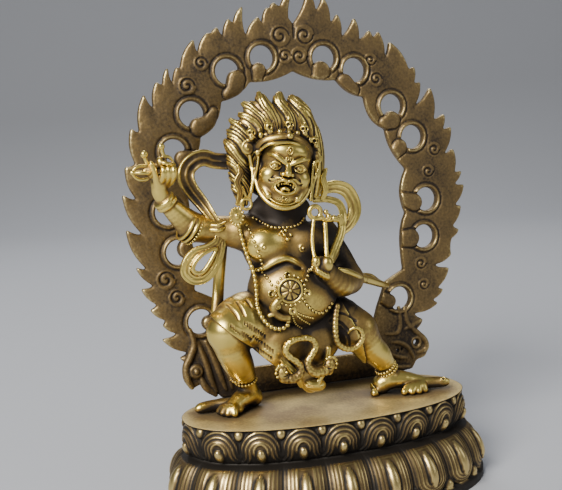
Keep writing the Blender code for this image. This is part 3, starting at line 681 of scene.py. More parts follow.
def circle(centre, across, up, count=13):
    """Points round an upright ring, from its side back to it."""
    x, y, z = centre
    return [(x + across * cos(a), y, z + up * sin(a)) for a in np.linspace(0.0, 2.0 * pi, count)]


# Where the head sits: its middle, and its turn and roll in degrees
HEAD_PLACE = (-16.9, -3.4, 102.4)
HEAD_TURN = -10.0
HEAD_ROLL = 10.6


def head_lean(points):
    """From the head's own frame to its place on the neck."""
    turn, roll = radians(HEAD_TURN), radians(HEAD_ROLL)
    x, y, z = points.T
    x, z = x * cos(roll) + z * sin(roll), z * cos(roll) - x * sin(roll)
    return np.stack([
        HEAD_PLACE[0] + x * cos(turn) - y * sin(turn),
        HEAD_PLACE[1] + x * sin(turn) + y * cos(turn),
        HEAD_PLACE[2] + z,
    ], 1)


def head_unlean(x, y, z):
    """From a place on the base back to the head's own frame."""
    turn, roll = radians(HEAD_TURN), radians(HEAD_ROLL)
    x, y, z = x - HEAD_PLACE[0], y - HEAD_PLACE[1], z - HEAD_PLACE[2]
    x, y = x * cos(turn) + y * sin(turn), y * cos(turn) - x * sin(turn)
    return [x * cos(roll) - z * sin(roll), y, z * cos(roll) + x * sin(roll)]


NIPPLES = ((-29.4, 70.5), (-12.9, 68.9))


def add_trunk(clay):
    clay.ball((-15, 2, 34), (18, 12.5, 12), 3)
    clay.ball((-14.5, -2, 50), (19.5, 15.5, 17), 3)
    clay.ball((-17, 1, 68), (17.5, 11.5, 14), 4, (0, 8, 0))
    clay.ball((-26.5, -5.6, 71), (9.4, 7, 8), 3)
    clay.ball((-9, -5.6, 70), (9.4, 7, 8), 3)
    clay.tube([(-17, 1, 76), (-17.2, 1, 92)], [9.6, 8.6], 2)
    clay.ball((-17.2, 2.6, 84.4), (13.4, 6.6, 6.6), 3)
    fold = [(-35, -5, 61.2), (-31.3, -9.7, 61.4), (-28.7, -11.8, 62.2), (-25.8, -13.2, 64),
            (-22.7, -13.8, 65.2), (-20.3, -14.4, 65.6), (-17.6, -14.5, 64.6), (-15.1, -13.7, 62.8),
            (-11, -12.8, 60.8), (-5, -10, 59)]
    clay.tube(moved(fold, 0, 1.1, -1.9), [0.3, 0.6, 0.7, 0.8, 0.8, 0.8, 0.8, 0.7, 0.5, 0.2], 2.0, cut=True)
    clay.tube(moved(fold, 0, 2.0, -0.2), [0.2, 0.6, 0.9, 1.0, 1.1, 1.1, 1.0, 0.8, 0.5, 0.2], 2.6)
    for x, z in NIPPLES:
        met = clay.front(x, z)
        clay.tube(circle(met + (0, 0.1, 0), 1.35, 1.35, 9), 0.3, 0.25)
        clay.ball(met, (0.6, 0.8, 0.6), 0.2)


UPPER_ARM_WAY = (-0.84, -0.1, 0.54)


def add_arms(clay):
    clay.ball((-33.5, 1.5, 75.8), (8, 7, 7.4), 3)
    clay.tube([(-35, 2, 76), (-46, 4, 77.4), (-54.6, 3.6, 79.2)], [6.8, 6.0, 5.8], 2)
    clay.tube([(-54.8, 3.5, 79.4), (-60.8, 2, 85.3), (-65.6, 0.5, 90)], [5.9, 4.6, 3.4], 1.5)
    clay.tube([(-65.6, 0.5, 90), (-68.2, -0.8, 94.8), (-68.4, -1.4, 98)], [3.3, 3.3, 3.2], 1.0)
    clay.ball((0.6, 1, 72), (7, 6.8, 7.6), 3)
    clay.tube([(2, 1, 71), (8, 0.5, 61), (10.6, -3, 53)], [6.2, 6.0, 6.2], 2)
    clay.tube([(10.4, -3.6, 52.6), (3, -11, 53), (-4.5, -16, 58.5)], [6.5, 5.8, 4.0], 1.5)
    clay.tube([(-5, -16.5, 59.5), (-7.6, -18.2, 62)], [4.0, 3.8], 1.0)
    cuff, along_cuff = np.array((-66.2, 0.2, 90.9)), np.array((-0.62, -0.25, 0.74))
    for lift, size, thick in ((-1.3, 3.9, 0.9), (0.6, 3.5, 1.2)):
        ring = around(cuff + along_cuff * lift, along_cuff, size, 18)
        clay.tube(ring + ring[:1], thick, 0.4, steps=2)
    for lift in (0.0, 2.2):
        ring = around((-55.6 - 0.84 * lift, 3.4, 78.9 + 0.54 * lift), UPPER_ARM_WAY, 6.1, 18)
        clay.tube(ring + ring[:1], 0.75, 0.2, steps=2)


def add_hands(clay):
    """The right hand round the thunderbolt with its first finger up, and the left fist before the chest."""
    clay.ball((-68.2, -1.8, 98.8), (3.5, 2.7, 3.8), 1.0, (0, 12, 0))
    clay.tube([(-69.2, -3, 97), (-70.4, -4.6, 101.5), (-71.4, -5, 104.8), (-71.9, -5.2, 106.6)],
              [1.6, 1.4, 1.3, 0.9], 0.5)
    clay.ball((-71.9, -6, 105.8), (0.7, 0.5, 0.9), 0.2)
    for k in range(3):
        x = -68.2 + 2.1 * k
        clay.tube([(x, -3.4, 98.6), (x + 0.6, -6.0, 101.0), (x + 0.7, -6.4, 103.6), (x + 0.4, -4.4, 105.4)],
                  [1.3, 1.3, 1.2, 0.9], 0.25)
    clay.tube([(-65.4, -1.8, 97.4), (-63.6, -4.2, 100.6), (-63.8, -5.6, 103.4)], [1.5, 1.4, 1.0], 0.5)
    clay.ball((-7.8, -18.4, 61.8), (3.9, 3.6, 4), 0.8)
    for k, z in enumerate((60.3, 59.3, 58.4, 57.8)):
        x = -10.7 + 1.35 * k
        clay.tube([(x, -20.6, z + 2.0), (x + 0.1, -22.4, z + 0.4), (x + 0.3, -21.0, z - 0.9)],
                  [0.95, 0.95, 0.75], 0.15)
    clay.ball((-10.7, -20.8, 64.2), (1.9, 1.9, 2.5), 0.3)
    clay.ball((-10.9, -22.7, 63.8), (0.55, 0.8, 0.65), 0.1, cut=True)
    clay.ball((-6.1, -21, 63), (2.5, 2.3, 3.2), 0.3)


def torso():
    clay = Clay((-76, -26, 24), (19, 18, 110), 0.45)
    add_trunk(clay)
    add_arms(clay)
    add_hands(clay)
    return clay


def add_legs(clay):
    clay.tube([(-20, 3, 36), (-35, -2, 39.3), (-45, -6.5, 37.6)], [12.6, 11.2, 8.0], 3)
    clay.ball((-45.4, -7, 36.4), (7.2, 7.6, 7.4), 2.5)
    clay.tube([(-45.4, -6.8, 36.2), (-42.8, -5, 28), (-39.4, -2, 21), (-35.2, 3.2, 14)], [7.5, 6.8, 6.2, 4.3],
              2)
    clay.tube([(-35.6, 3.2, 14), (-33.6, 5.4, 7)], [4.0, 4.2], 1)
    clay.tube([(-6, 3, 35), (5, 0, 35.6), (13.6, -4.4, 30.6)], [12.0, 10.2, 7.8], 3)
    clay.tube([(13.6, -4.6, 30.8), (19.2, -4, 22.4), (23.6, -3.4, 17.7), (28.2, -2.3, 11.5)],
              [7.8, 6.4, 5.6, 3.9], 2.5)
    clay.tube([(28.2, -2.3, 11.5), (28.6, -2.2, 6)], [3.9, 4.2], 1)
    add_foot(clay, [(-31.4, 6.4, 4.6), (-37, 2.6, 5.2), (-42.4, -0.6, 3.4)], (3.8, 4.2, 3.2),
             [(-43.4, -5.6), (-45.8, -4.4), (-47.4, -2.4), (-48.2, 0.2)],
             [(-41, 3, 2.8), (-48, 5.8, 2.6), (-54.2, 5.6, 2.4), (-55.8, 5.4, 2.2)], (-54.6, 4.9, 3.3))
    add_foot(clay, [(25.6, -1.6, 4.6), (33, -3.2, 5.6), (42, -5.4, 3.8)], (4, 4.3, 3.3),
             [(32.6, -9.8), (35.8, -10.8), (39, -11), (42.2, -10.4)],
             [(40, -5.4, 3.4), (47.5, -6.6, 3), (52, -8.2, 3), (53.8, -8.6, 3)], (52, -9.6, 4.9))
    clay.tube([(25.2, -2.6, 2.6), (20.6, -4.6, 1.2)], [2.2, 0.7], 0.8)


def add_foot(clay, back, thick, tips, great, nail):
    """A bare foot: its back from the heel on, the small toes' tips on the ground, and the great toe."""
    heel, _, ball = [np.array(p, float) for p in back]
    clay.ball((heel[0], heel[1], 3.0), (3.9, 3.9, 3.3), 1.2)
    clay.tube(back, thick, 1.2, 0.9, (0, 0, 1))
    clay.ball((ball[0], ball[1], 2.0), (4.4, 4.4, 2.6), 1.2)
    for x, y in tips:
        root = ball + (0.45 * (x - ball[0]), 0.45 * (y - ball[1]), -0.8)
        clay.tube([root, ((root[0] + x) / 2, (root[1] + y) / 2, 2.9), (x, y, 1.5)], [2.0, 1.8, 1.5], 1.0)
    clay.tube(great, [2.7, 2.5, 2.3, 1.8], 0.8)
    x, y, z = nail
    rim = [(x + cos(a), y + 0.5 * sin(a), z + 0.4 * sin(a)) for a in np.linspace(0, 2 * pi, 9)]
    clay.tube(rim, 0.35, 0.15)
    clay.ball(nail, (0.7, 0.8, 0.8), 0.1, cut=True)


# The hide: where its right and left parts meet, its thickness, its rows of strokes and the knees' folds
HIDE_MIDDLE = -12.0
HIDE_THICK = 1.0
HIDE_ROWS = [
    [(-45.6, 41.4), (-41.7, 37.7), (-37, 33.3)],
    [(-39.6, 41.5), (-35.7, 37.9), (-31, 33.8)],
    [(-36, 34.3), (-31.9, 30.8), (-28.4, 27.7)],
    [(-33.2, 28.1), (-28.7, 24.6)],
]
LEFT_FOLDS = [[(3, 34), (6, 30), (7.5, 25)], [(0, 41), (6, 39), (10, 36)], [(-1, 37), (3, 36), (6, 32.5)]]
RIGHT_FOLDS = [[(-45, 48), (-43, 45), (-42.4, 43)], [(-41, 49), (-40, 46), (-39.5, 44)],
               [(-37, 49.5), (-36, 47)]]


def add_skirt(clay):
    """The hide about the hips: a thin skin over the thighs with rows of short strokes, and its tip."""
    x, y, z = np.meshgrid(*clay.axes(), indexing="ij", sparse=True)
    right = x < HIDE_MIDDLE
    past_right = -(0.65 * (x + 50.4) + 0.76 * (z - 42.2) - 0.10 * (y + 12.0) - 0.3 * np.sin((x + z) * 0.35))
    past_left = 0.93 * (x - 10.5) + 0.36 * (z - 31.0)
    shell = np.maximum(clay.field - HIDE_THICK, np.where(right, past_right, past_left))
    clay.field = np.minimum(clay.field, shell).astype(np.float32)
    covered = clay.field.copy()
    clay.ball((-22, -5.4, 30), (12.4, 9.8, 12), 1.5, (0, 30, 0))
    trimmed = np.minimum(covered, np.maximum(clay.field, past_right - 0.6))
    clay.field = np.where(right, trimmed, clay.field).astype(np.float32)
    clay.ball((-8, -4, 28), (13, 9.6, 10.6), 2)
    clay.tube([(-18, -7, 27), (-13.4, -9, 17), (-10.5, -9.4, 11)], [7.0, 5.6, 4.0], 1.2, 0.55)
    clay.ball((-9.6, -10.8, 11), (5.2, 3.2, 3), 0.5, (0, 14, 0))
    for k in range(4):
        z = 13.2 - 1.35 * k
        half = 4.6 - 0.7 * k
        clay.tube([(-9.8 - half, -12.6, z - 0.6), (-9.6, -14.2, z - 1.2), (-9.2 + half, -12.4, z)], 0.28, 0.2,
                  cut=True)
    clay.tube([(-24, -13, 24), (-19, -14.5, 17), (-16.5, -13.5, 12)], [1.2, 1.5, 1.0], 1.0)
    clay.tube([(-3.5, -13, 26), (-5.5, -13.2, 18), (-8, -13, 13)], [1.2, 1.4, 1.0], 1.0)
    for row in HIDE_ROWS:
        strokes(clay, row)
    for folds, size in ((LEFT_FOLDS, 0.5), (RIGHT_FOLDS, 0.45)):
        for fold in folds:
            points = laid(clay, fold, 1.5)
            if len(points):
                clay.tube(points, size, 0.5, steps=2, cut=True)


def laid(clay, route, pitch, lift=0.0):
    """Points of a route given as (x, z), laid on the form's front at an even pitch; none where it misses."""
    knots, _ = smooth_route(route, [1.0] * len(route), 8)
    met = np.array([at for at in (clay.front(x, z) for x, z in knots) if at is not None])
    if len(met) < 2:
        return []
    for _ in range(2):
        met[1:-1, 1] = (met[:-2, 1] + met[1:-1, 1] + met[2:, 1]) / 3.0
    met[:, 1] -= lift
    run = run_along(met)
    at = np.linspace(0.0, run[-1], max(2, int(round(run[-1] / pitch)) + 1))
    return np.stack([np.interp(at, run, met[:, k]) for k in range(3)], 1)


def strokes(clay, row):
    """A row of short upright strokes cut along a line on the hide."""
    for at in laid(clay, row, 1.3):
        clay.tube([at + (0, -0.1, -0.9), at + (0, -0.1, 0.9)], 0.5, 0.02, steps=1, cut=True)


def legs():
    clay = Clay((-64, -22, -0.7), (62, 18, 56), 0.36)
    add_legs(clay)
    add_skirt(clay)
    clay.field[:, :, : max(1, round(0.7 / clay.step))] = FAR
    return clay


def head():
    """The wrathful face, drawn facing forwards round the point behind the middle of its eyes."""
    clay = Clay((-17, -19, -20), (17, 12, 18), 0.27)
    clay.ball((0, 0.5, 3), (11.2, 12, 12.5), 1)
    clay.ball((0, -2.4, -7.4), (10.6, 9.4, 9.4), 2.5)
    clay.ball((0, -7.8, 6.4), (7, 3.7, 3.2), 2)
    for side in (-1, 1):
        clay.ball((side * 6.4, -7.2, -4.2), (3.8, 3.9, 3.8), 2.6)
        eye(clay, side)
        brow(clay, side)
        nostril(clay, side)
        moustache(clay, side)
        clay.tube([(side * 9.0, -6.0, -8.0), (side * 6.0, -9.6, -12.2)], [1.4, 1.6], 1.2)
        ear(clay, side)
    clay.tube([(0, -11.2, 2), (0, -12.8, -0.6), (0, -14, -2.5)], [0.95, 1.2, 1.45], 0.6)
    clay.tube([(-1.3, -12.2, 1.3), (1.3, -12.2, 1.3)], 0.28, 0.25, cut=True)
    clay.tube(circle((0, -12.2, 6.6), 1, 1.55), 0.3, 0.1)
    clay.ball((0, -11.8, 6.6), (0.45, 0.7, 0.8), 0.1)
    mouth(clay)
    beard(clay)
    return clay


def eye(clay, side):
    clay.ball((side * 4.7, -12.4, 0.0), (2.9, 2, 2.2), 0.7, cut=True)
    clay.ball((side * 4.9, -9.6, 0.0), (1.9, 2, 1.75), 0.1)
    for bend, thick in ((1.5, 0.5), (-1.5, 0.34)):
        across = (-1.0, -0.6, -0.2, 0.2, 0.6, 1.0)
        lid = [(side * (4.9 + 2.5 * s), -11.5 + 1.0 * s * s, bend * (1.0 - s * s)) for s in across]
        clay.tube(lid, thick, 0.15, steps=3)
    clay.tube(circle((side * 4.8, -11.65, 0.0), 0.75, 0.75, 11), 0.17, 0.02, cut=True)


def brow(clay, side):
    """The bushy brow, two wrinkles over it and the curl between the brows."""
    ridge = [(side * 1.4, -12.4, 1.5), (side * 3.2, -12.5, 2.7), (side * 5.8, -11.8, 3.9),
             (side * 8.4, -9.6, 4.2)]
    clay.tube(ridge, [0.9, 1.0, 0.95, 0.5], 0.6)
    for k in range(6):
        x = 1.8 + 1.15 * k
        z = 1.9 + 2.6 * sin(x / 5.8)
        y = -13.2 + 0.055 * x * x
        clay.tube([(side * x, y + 0.3, z - 0.9), (side * (x + 0.9), y + 0.5, z + 0.9)], 0.17, 0.1, cut=True,
                  steps=1)
    for rise in (0.0, 1.5):
        wrinkle = [(side * 1.5, -12.5, 4.4 + rise), (side * 3.8, -12.0, 5.4 + rise),
                   (side * 6.0, -10.9, 5.6 + rise)]
        clay.tube(wrinkle, [0.15, 0.26, 0.15], 0.3, cut=True)
    clay.tube(circle((side * 0.9, -12.9, 3.3), 0.62, 0.7, 9), 0.24, 0.1)


def nostril(clay, side):
    clay.ball((side * 1.75, -12.4, -3.0), (1.15, 1.4, 1), 0.4)
    clay.ball((side * 1.05, -14.1, -3.9), (0.62, 0.9, 0.5), 0.15, cut=True)
    fold = [(side * 3.0, -12.4, -2.0), (side * 5.0, -11.6, -3.8), (side * 6.4, -10.6, -6.6)]
    clay.tube(fold, [0.3, 0.5, 0.3], 0.5, cut=True)


def moustache(clay, side):
    hairs = [(side * 1.4, -13.4, -4.6), (side * 3.6, -12.7, -4.6), (side * 5.8, -11.2, -5.8),
             (side * 7.0, -10.2, -5.2)]
    clay.tube(moved(hairs, 0, 0, -0.55), [0.3, 0.5, 0.5, 0.3], 0.3, cut=True)
    clay.tube(hairs, [0.3, 0.38, 0.38, 0.25], 0.15)


def ear(clay, side):
    clay.ball((side * 11.6, -2.6, -0.4), (1.5, 2.6, 4.4), 0.5, (0, 0, side * 28))
    rim = [(side * 11.8, -4.8, 3.4), (side * 13.2, -4.0, 4.2), (side * 14.2, -2.4, 2.0),
           (side * 13.8, -2.8, -1.6), (side * 12.8, -4.0, -4.4), (side * 12.3, -4.8, -8.6),
           (side * 12.4, -5.0, -11.8)]
    clay.tube(rim, [0.6, 0.7, 0.7, 0.65, 0.65, 0.75, 0.9], 0.3)
    clay.tube([(side * 11.4, -5.0, 2.6), (side * 11.4, -5.2, -2.0), (side * 11.8, -5.0, -8.0)],
              [0.5, 0.55, 0.5], 0.25)
    clay.ball((side * 12.8, -4.6, 0.0), (0.9, 1.6, 2.4), 0.3, (0, 0, side * 28), cut=True)


def mouth(clay):
    """An open, shouting mouth with lips, two rows of teeth and a curled tongue."""
    clay.ball((0, -9.6, -7.8), (5.8, 4.2, 4.4), 1.4)
    clay.ball((0, -13.4, -7.9), (4, 3.6, 2.3), 0.4, cut=True)
    upper = [(-4.7, -11.4, -7.7), (-3.3, -13, -6.2), (-1.5, -14.2, -5.2), (0, -14.2, -5.7),
             (1.5, -14.2, -5.2), (3.3, -13, -6.2), (4.7, -11.4, -7.7)]
    lower = [(-4.7, -11.4, -7.7), (-3.2, -12.8, -9.7), (0, -13.7, -10.6), (3.2, -12.8, -9.7),
             (4.7, -11.4, -7.7)]
    clay.tube(upper, [0.4, 0.6, 0.7, 0.6, 0.7, 0.6, 0.4], 0.2)
    clay.tube(lower, [0.4, 0.6, 0.75, 0.6, 0.4], 0.2)
    for k in range(-3, 4):
        clay.ball((k * 0.9, -12.9 + 0.09 * k * k, -6.5 - 0.09 * k * k), (0.42, 0.45, 0.5), 0.08)
    for side in (-1, 1):
        clay.ball((side * 3.0, -12.6, -7.3), (0.4, 0.45, 1), 0.1)
    tongue = [(-2, -11.6, -8.6), (-1.2, -12.6, -9), (0, -13, -8.5), (1.2, -12.6, -9), (2, -11.6, -8.6)]
    clay.tube(tongue, [0.5, 0.75, 0.8, 0.75, 0.5], 0.2)


def beard(clay):
    """The thin double rim of beard along the jaw, its combed tip, and stubble under the mouth."""
    jaw = [(-11.2, -2.6, 2), (-11.6, -4, -3.6), (-10.4, -6, -9.6), (-7, -9, -14), (-3.2, -10.8, -16),
           (0, -11.4, -16.4), (3.2, -10.8, -16), (7, -9, -14), (10.4, -6, -9.6), (11.6, -4, -3.6),
           (11.2, -2.6, 2)]
    clay.ball((0, -8.2, -12.8), (5, 3.6, 3.2), 1.4)
    clay.tube(jaw, [0.5, 0.7, 0.8, 0.9, 1.0, 1.1, 1.0, 0.9, 0.8, 0.7, 0.5], 0.25)
    clay.tube([(x * 0.88, y - 1.1, z * 0.91) for x, y, z in jaw], 0.34, 0.2)
    for k in range(-6, 7):
        x = k * 1.1
        z = -16.2 + 0.045 * x * x
        y = -11.4 + 0.045 * x * x
        clay.tube([(x, y - 1.3, z + 0.7), (x * 1.05, y - 1.0, z - 1.4)], 0.27, 0.05, cut=True, steps=1)
    clay.tube(circle((0.2, -12.2, -12.4), 0.8, 0.7, 9), 0.26, 0.1)
    for row in range(3):
        for k in range(-4 + row, 5 - row):
            x = k * 0.95 + 0.4 * (row % 2)
            clay.ball((x, -12.1 + 0.05 * x * x + 0.3 * row, -12.2 - 0.8 * row), (0.2, 0.5, 0.2), 0.05,
                      cut=True)


# Lines of the hair in (x, z), from its right edge over the top to its left edge, with how far each lies
# from the first, in millimetres
STRANDS = [
    (0.0, [(-39.5, 95.6), (-35.9, 92.4), (-34, 89.6), (-33.2, 85.5)]),
    (3.2, [(-40.5, 101.6), (-36.6, 97), (-34.1, 94), (-32, 89), (-31, 84)]),
    (6.6, [(-41, 106.8), (-36.9, 103.1), (-33.3, 97.6), (-31.2, 94.4), (-29, 88)]),
    (9.0, [(-41.5, 110.4), (-37.8, 106), (-33.5, 100.8), (-31, 97.9), (-26, 92)]),
    (11.2, [(-41, 113.6), (-38.3, 109.1), (-34, 103.3), (-31.2, 100.7), (-24, 96)]),
    (12.8, [(-40.5, 116), (-37.1, 109.4), (-35, 106.2), (-32.1, 102.9), (-22, 100)]),
    (17.0, [(-40, 116.6), (-36, 114.6), (-34.2, 112.7), (-32.4, 109.2), (-30.6, 106.9), (-20, 103)]),
    (19.5, [(-40, 119.6), (-35.2, 117.7), (-33.1, 115.7), (-31.2, 113.2), (-29.8, 110), (-20, 104)]),
    (21.7, [(-38.6, 124.8), (-35.2, 120.5), (-33, 118.2), (-30.8, 115.6), (-19.5, 106)]),
    (26.5, [(-36, 125.4), (-30.1, 123.4), (-27.2, 121.4), (-25.4, 118.5), (-25.2, 115.4), (-19, 108)]),
    (30.5, [(-34, 131.4), (-28.9, 127.8), (-26.6, 125.5), (-24.3, 122.9), (-22, 117), (-18.5, 110)]),
    (34.0, [(-24, 135.6), (-24.4, 130.1), (-23.6, 126.9), (-21.4, 124), (-19.9, 121.1), (-19.3, 117.7),
            (-18, 110)]),
    (36.5, [(-22.4, 136), (-21.4, 130.9), (-20.2, 128.3), (-18.8, 125.1), (-17.6, 121), (-17.2, 110)]),
    (39.5, [(-14, 135.4), (-17.1, 130.8), (-17.5, 128.6), (-15.6, 126), (-13.7, 123.7), (-12.9, 121.2),
            (-15, 108)]),
    (43.5, [(-14, 135.6), (-13.1, 130.1), (-11.7, 127.1), (-9.6, 123.5), (-8.4, 119), (-9.6, 112),
            (-13, 104)]),
    (47.0, [(-10.6, 134.6), (-10.5, 129.4), (-8, 126.7), (-5, 124.7), (-2.3, 122.1), (-0.4, 118.2),
            (0.4, 108), (0.2, 96), (-1.4, 85)]),
    (50.5, [(-7.4, 133.4), (-4.7, 128.9), (-1.2, 125), (1.6, 119.4), (3.6, 112.9), (4.2, 106.7), (4.1, 98.6),
            (2.3, 86)]),
]
# How far apart the combed grooves are and how deep they go, and where the gaps between the locks lie
STRAND_PITCH = 1.35
GROOVE_DEPTH = 0.62
LOCK_EDGES = (1.8, 5.0, 10.2, 15.2, 20.6, 24.4, 28.4, 32.4, 38.2, 45.4)
# The locks' loose tips, as a route and its radii
LOCK_TIPS = [
    ([(-20, 1.2, 117), (-21.2, 1.8, 124), (-23, 3, 128.6), (-23.6, 4.6, 132.2)], [4.6, 4.3, 3.2, 1.2]),
    ([(-13.5, 1.2, 117), (-14, 1.8, 123), (-15.4, 3, 128), (-15.2, 3.8, 130.6), (-14.2, 4.7, 132.2)],
     [4.6, 4.4, 3.2, 2.2, 0.9]),
    ([(-5.6, 2.2, 116), (-6.2, 2.6, 122.5), (-8.6, 3.8, 127.7), (-9.4, 5, 130.4)], [5.2, 5.0, 3.4, 1.3]),
    ([(-24, 2.2, 120), (-27.4, 3.4, 125), (-30.2, 4.9, 128.4)], [4.2, 3.4, 1.2]),
    ([(-23.4, 2.6, 121.5), (-25.4, 3.6, 126), (-27, 4.9, 129)], [3.8, 3.1, 1.1]),
    ([(-26.4, 1.6, 117), (-29.5, 3, 121.6), (-31.8, 4.7, 124)], [4.2, 3.4, 1.3]),
    ([(-29.2, 1.4, 113), (-33, 3, 118), (-35.8, 4.9, 121.6)], [4.3, 3.6, 1.4]),
    ([(-31, 1.6, 110), (-34.6, 3.2, 114.8), (-36.8, 4.7, 117.6)], [4.3, 3.5, 1.4]),
    ([(-33, 2, 106), (-36.2, 3.2, 110.8), (-38.2, 4.7, 113.6)], [4.3, 3.6, 1.5]),
]


def away_from(line, x, z):
    """Distance of flat places from a line of several parts."""
    line = np.array(line, float)
    found = np.full(x.shape, 1e3)
    for a, b in zip(line, line[1:]):
        run = b - a
        share = np.clip(((x - a[0]) * run[0] + (z - a[1]) * run[1]) / (run @ run), 0.0, 1.0)
        found = np.minimum(found, np.hypot(x - a[0] - share * run[0], z - a[1] - share * run[1]))
    return found


def strand_at(x, z):
    """How far across the flow of the hair each place lies, from the two lines that are nearest to it."""
    gaps = np.stack([away_from(line, x, z) for _, line in STRANDS])
    ranks = np.array([rank for rank, _ in STRANDS])
    last = len(ranks) - 1

    def gap_to(line):
        found = np.take_along_axis(gaps, np.clip(line, 0, last)[None], 0)[0]
        return np.where((line >= 0) & (line <= last), found, 1e6)

    near = np.argmin(gaps, axis=0)
    first, before, after = gap_to(near), gap_to(near - 1), gap_to(near + 1)
    other = np.clip(np.where(before < after, near - 1, near + 1), 0, last)
    second = np.minimum(before, after)
    return (ranks[near] * second + ranks[other] * first) / (first + second + 1e-6)


def hair():
    """The hair as one swept mass with loose tips, grooved along its strands."""
    clay = Clay((-42, -7, 82), (8, 18, 137), 0.3)
    clay.ball((-17, 6, 107), (18, 8.6, 19), 0)
    clay.ball((-17, 4.8, 118.4), (14.6, 7.4, 10), 1.5)
    clay.tube([(-10, 4.2, 122), (-4, 4, 117), (-1.5, 3.8, 108), (-1.8, 3.4, 98), (-2.2, 3, 90)],
              [4.8, 5.4, 5.3, 5.0, 3.2], 1.5, 0.9)
    clay.tube([(-30, 3.6, 117), (-33.2, 3.6, 110), (-33.6, 3.4, 103), (-33.2, 3, 95), (-33.2, 2.6, 88.5)],
              [4.6, 5.4, 5.2, 4.7, 2.6], 1.5, 0.9)
    for route, radii in LOCK_TIPS:
        clay.tube(route, radii, 1.2, 0.85, (0.1, -1, 0.2))
    x, _, z = clay.axes()
    across = strand_at(*np.meshgrid(x, z, indexing="ij"))
    groove = 0.5 - 0.75 * np.abs(np.cos(pi * across / STRAND_PITCH)) ** 0.7
    for edge in LOCK_EDGES:
        groove = groove + 0.9 * bell(across - edge, 0.8)
    clay.field += groove[:, None, :].astype(np.float32) * GROOVE_DEPTH
    return clay


def add_skull(clay, at, size, look=0.0):
    """A small grinning skull on the crown; look turns its holes aside."""
    def sized(x, y, z):
        return size * np.array((x, y, z))

    clay.ball(at + sized(0, 0, 0.5), sized(2.3, 2, 2.3), 0.2)
    clay.ball(at + sized(look * 0.4, -0.5, -1.9), sized(1.45, 1.4, 1.4), 0.4)
    for side in (-1, 1):
        clay.ball(at + sized(side * 1.05 + look, -2.0, 0.4), sized(0.86, 1.5, 0.98), 0.05, cut=True)
    clay.ball(at + sized(look, -1.9, -0.9), sized(0.34, 0.8, 0.5), 0.05, cut=True)
    teeth = [at + sized(look + x, y, z) for x, y, z in ((-1.2, -1.5, -2.3), (0, -2, -2.6), (1.2, -1.6, -2.3))]
    clay.tube(teeth, 0.24 * size, 0.05, cut=True)


def coil(clay, at, size, way, thick, turns=1.7, squash=1.0, start=0.0):
    """A flat spiral scroll."""
    route = []
    parts = 20
    for k in range(parts + 1):
        angle = start + way * (k / parts) * turns * 2.0 * pi
        r = size * (1.0 - 0.8 * k / parts)
        route.append((at[0] + r * squash * cos(angle), at[1] - 0.05 * k, at[2] + r * sin(angle)))
    clay.ball(at, (size * squash * 0.95, 1.2, size * 0.95), 0.2)
    clay.tube(route, thick, 0.1, steps=2)


def crown():
    """The smooth band over the brow with its thin rim, five skulls on it and a scroll at each end."""
    clay = Clay((-38, -19, 98), (4, 4, 130), 0.27)
    band = [(-28.2, -1.5, 106), (-28, -5, 110), (-25.6, -8.4, 112.8), (-22, -10.4, 113.7),
            (-17.9, -11.3, 113.9), (-13.8, -10.8, 112.8), (-10.3, -9.2, 110.8), (-7, -6, 107.8),
            (-6, -2.4, 104)]
    clay.tube(band, 2.3, 0.3)
    rim = [(-29.2, -4.4, 105.8), (-28.4, -8, 109), (-26.8, -11.2, 111.2), (-24.6, -12.9, 112),
           (-21.3, -13.8, 112.2), (-17.5, -14.1, 112.1), (-14.2, -13.6, 111.1), (-11.4, -12.4, 109.7),
           (-9, -10.4, 107.6), (-7.4, -7.6, 104.8)]
    clay.tube(rim, 0.62, 0.12)
    clay.tube([(x * 0.995, y + 0.9, z + 0.9) for x, y, z in rim], 0.3, 0.3, cut=True)
    for at, size, look in (
        ((-31.2, -6.6, 116.2), 0.84, 0), ((-24.5, -9.6, 118.2), 0.86, 0.9), ((-16.3, -10.8, 118.9), 0.84, 0),
        ((-9.6, -9.8, 116.9), 0.84, -0.2), ((-3.9, -6.6, 111.8), 0.84, 0.3),
    ):
        x, y, z = at
        clay.tube([(x * 0.98, y + 2.2, z - 4.2), (x, y + 1.0, z - 1.6)], [1.5, 1.3], 0.4)
        clay.ball((x, y + 0.8, z - 2.6), (2.2, 1.2, 1), 0.3)
        add_skull(clay, at, size, look)
    for x, y, z in ((-16.2, -10.4, 123.2), (-8.9, -9.4, 120.6), (-31.4, -6.2, 119.9), (-24.8, -9, 121.6)):
        clay.tube([(x, y + 0.2, z - 2.6), (x, y + 0.3, z - 1.1), (x + 0.1, y + 0.5, z)], [0.9, 0.65, 0.2],
                  0.2)
    clay.ball((-17.1, -13.4, 114.6), (1.5, 1.2, 1.4), 0.2)
    clay.tube([(-17.1, -12.6, 116), (-17, -11.8, 117.6)], [0.9, 0.5], 0.2)
    for x, y, z in ((-27.8, -8.8, 115.4), (-20.6, -11.4, 116.4), (-12.8, -10.8, 115.4), (-6.6, -8.6, 112.6)):
        clay.ball((x, y, z), (1, 0.9, 1.3), 0.25)
    coil(clay, (-32.3, -5.2, 110.6), 3.1, 1, 0.55, 1.6, 0.95, 0.6)
    coil(clay, (-28.9, -7.6, 108.6), 1.3, -1, 0.4, 1.2)
    coil(clay, (-3, -5.6, 105.4), 3.0, -1, 0.5, 1.7, 0.72)
    clay.tube([(-31.6, -5, 107.4), (-31.2, -4.6, 105), (-30.6, -4.4, 102.6)], [0.9, 0.8, 0.6], 0.2)
    return clay


# The thunderbolt's ends, and a prong as shares of an end's length and its distance from the middle
VAJRA_ENDS = [(-1, (-72.2, -3.6, 102.6), (-79.4, -4, 103.2)), (1, (-68.2, -3.8, 106.6), (-62.8, -4, 105.4))]
PRONG = [(0.02, 1), (0.18, 2.3), (0.5, 2.7), (0.8, 1.9), (1, 0.4)]


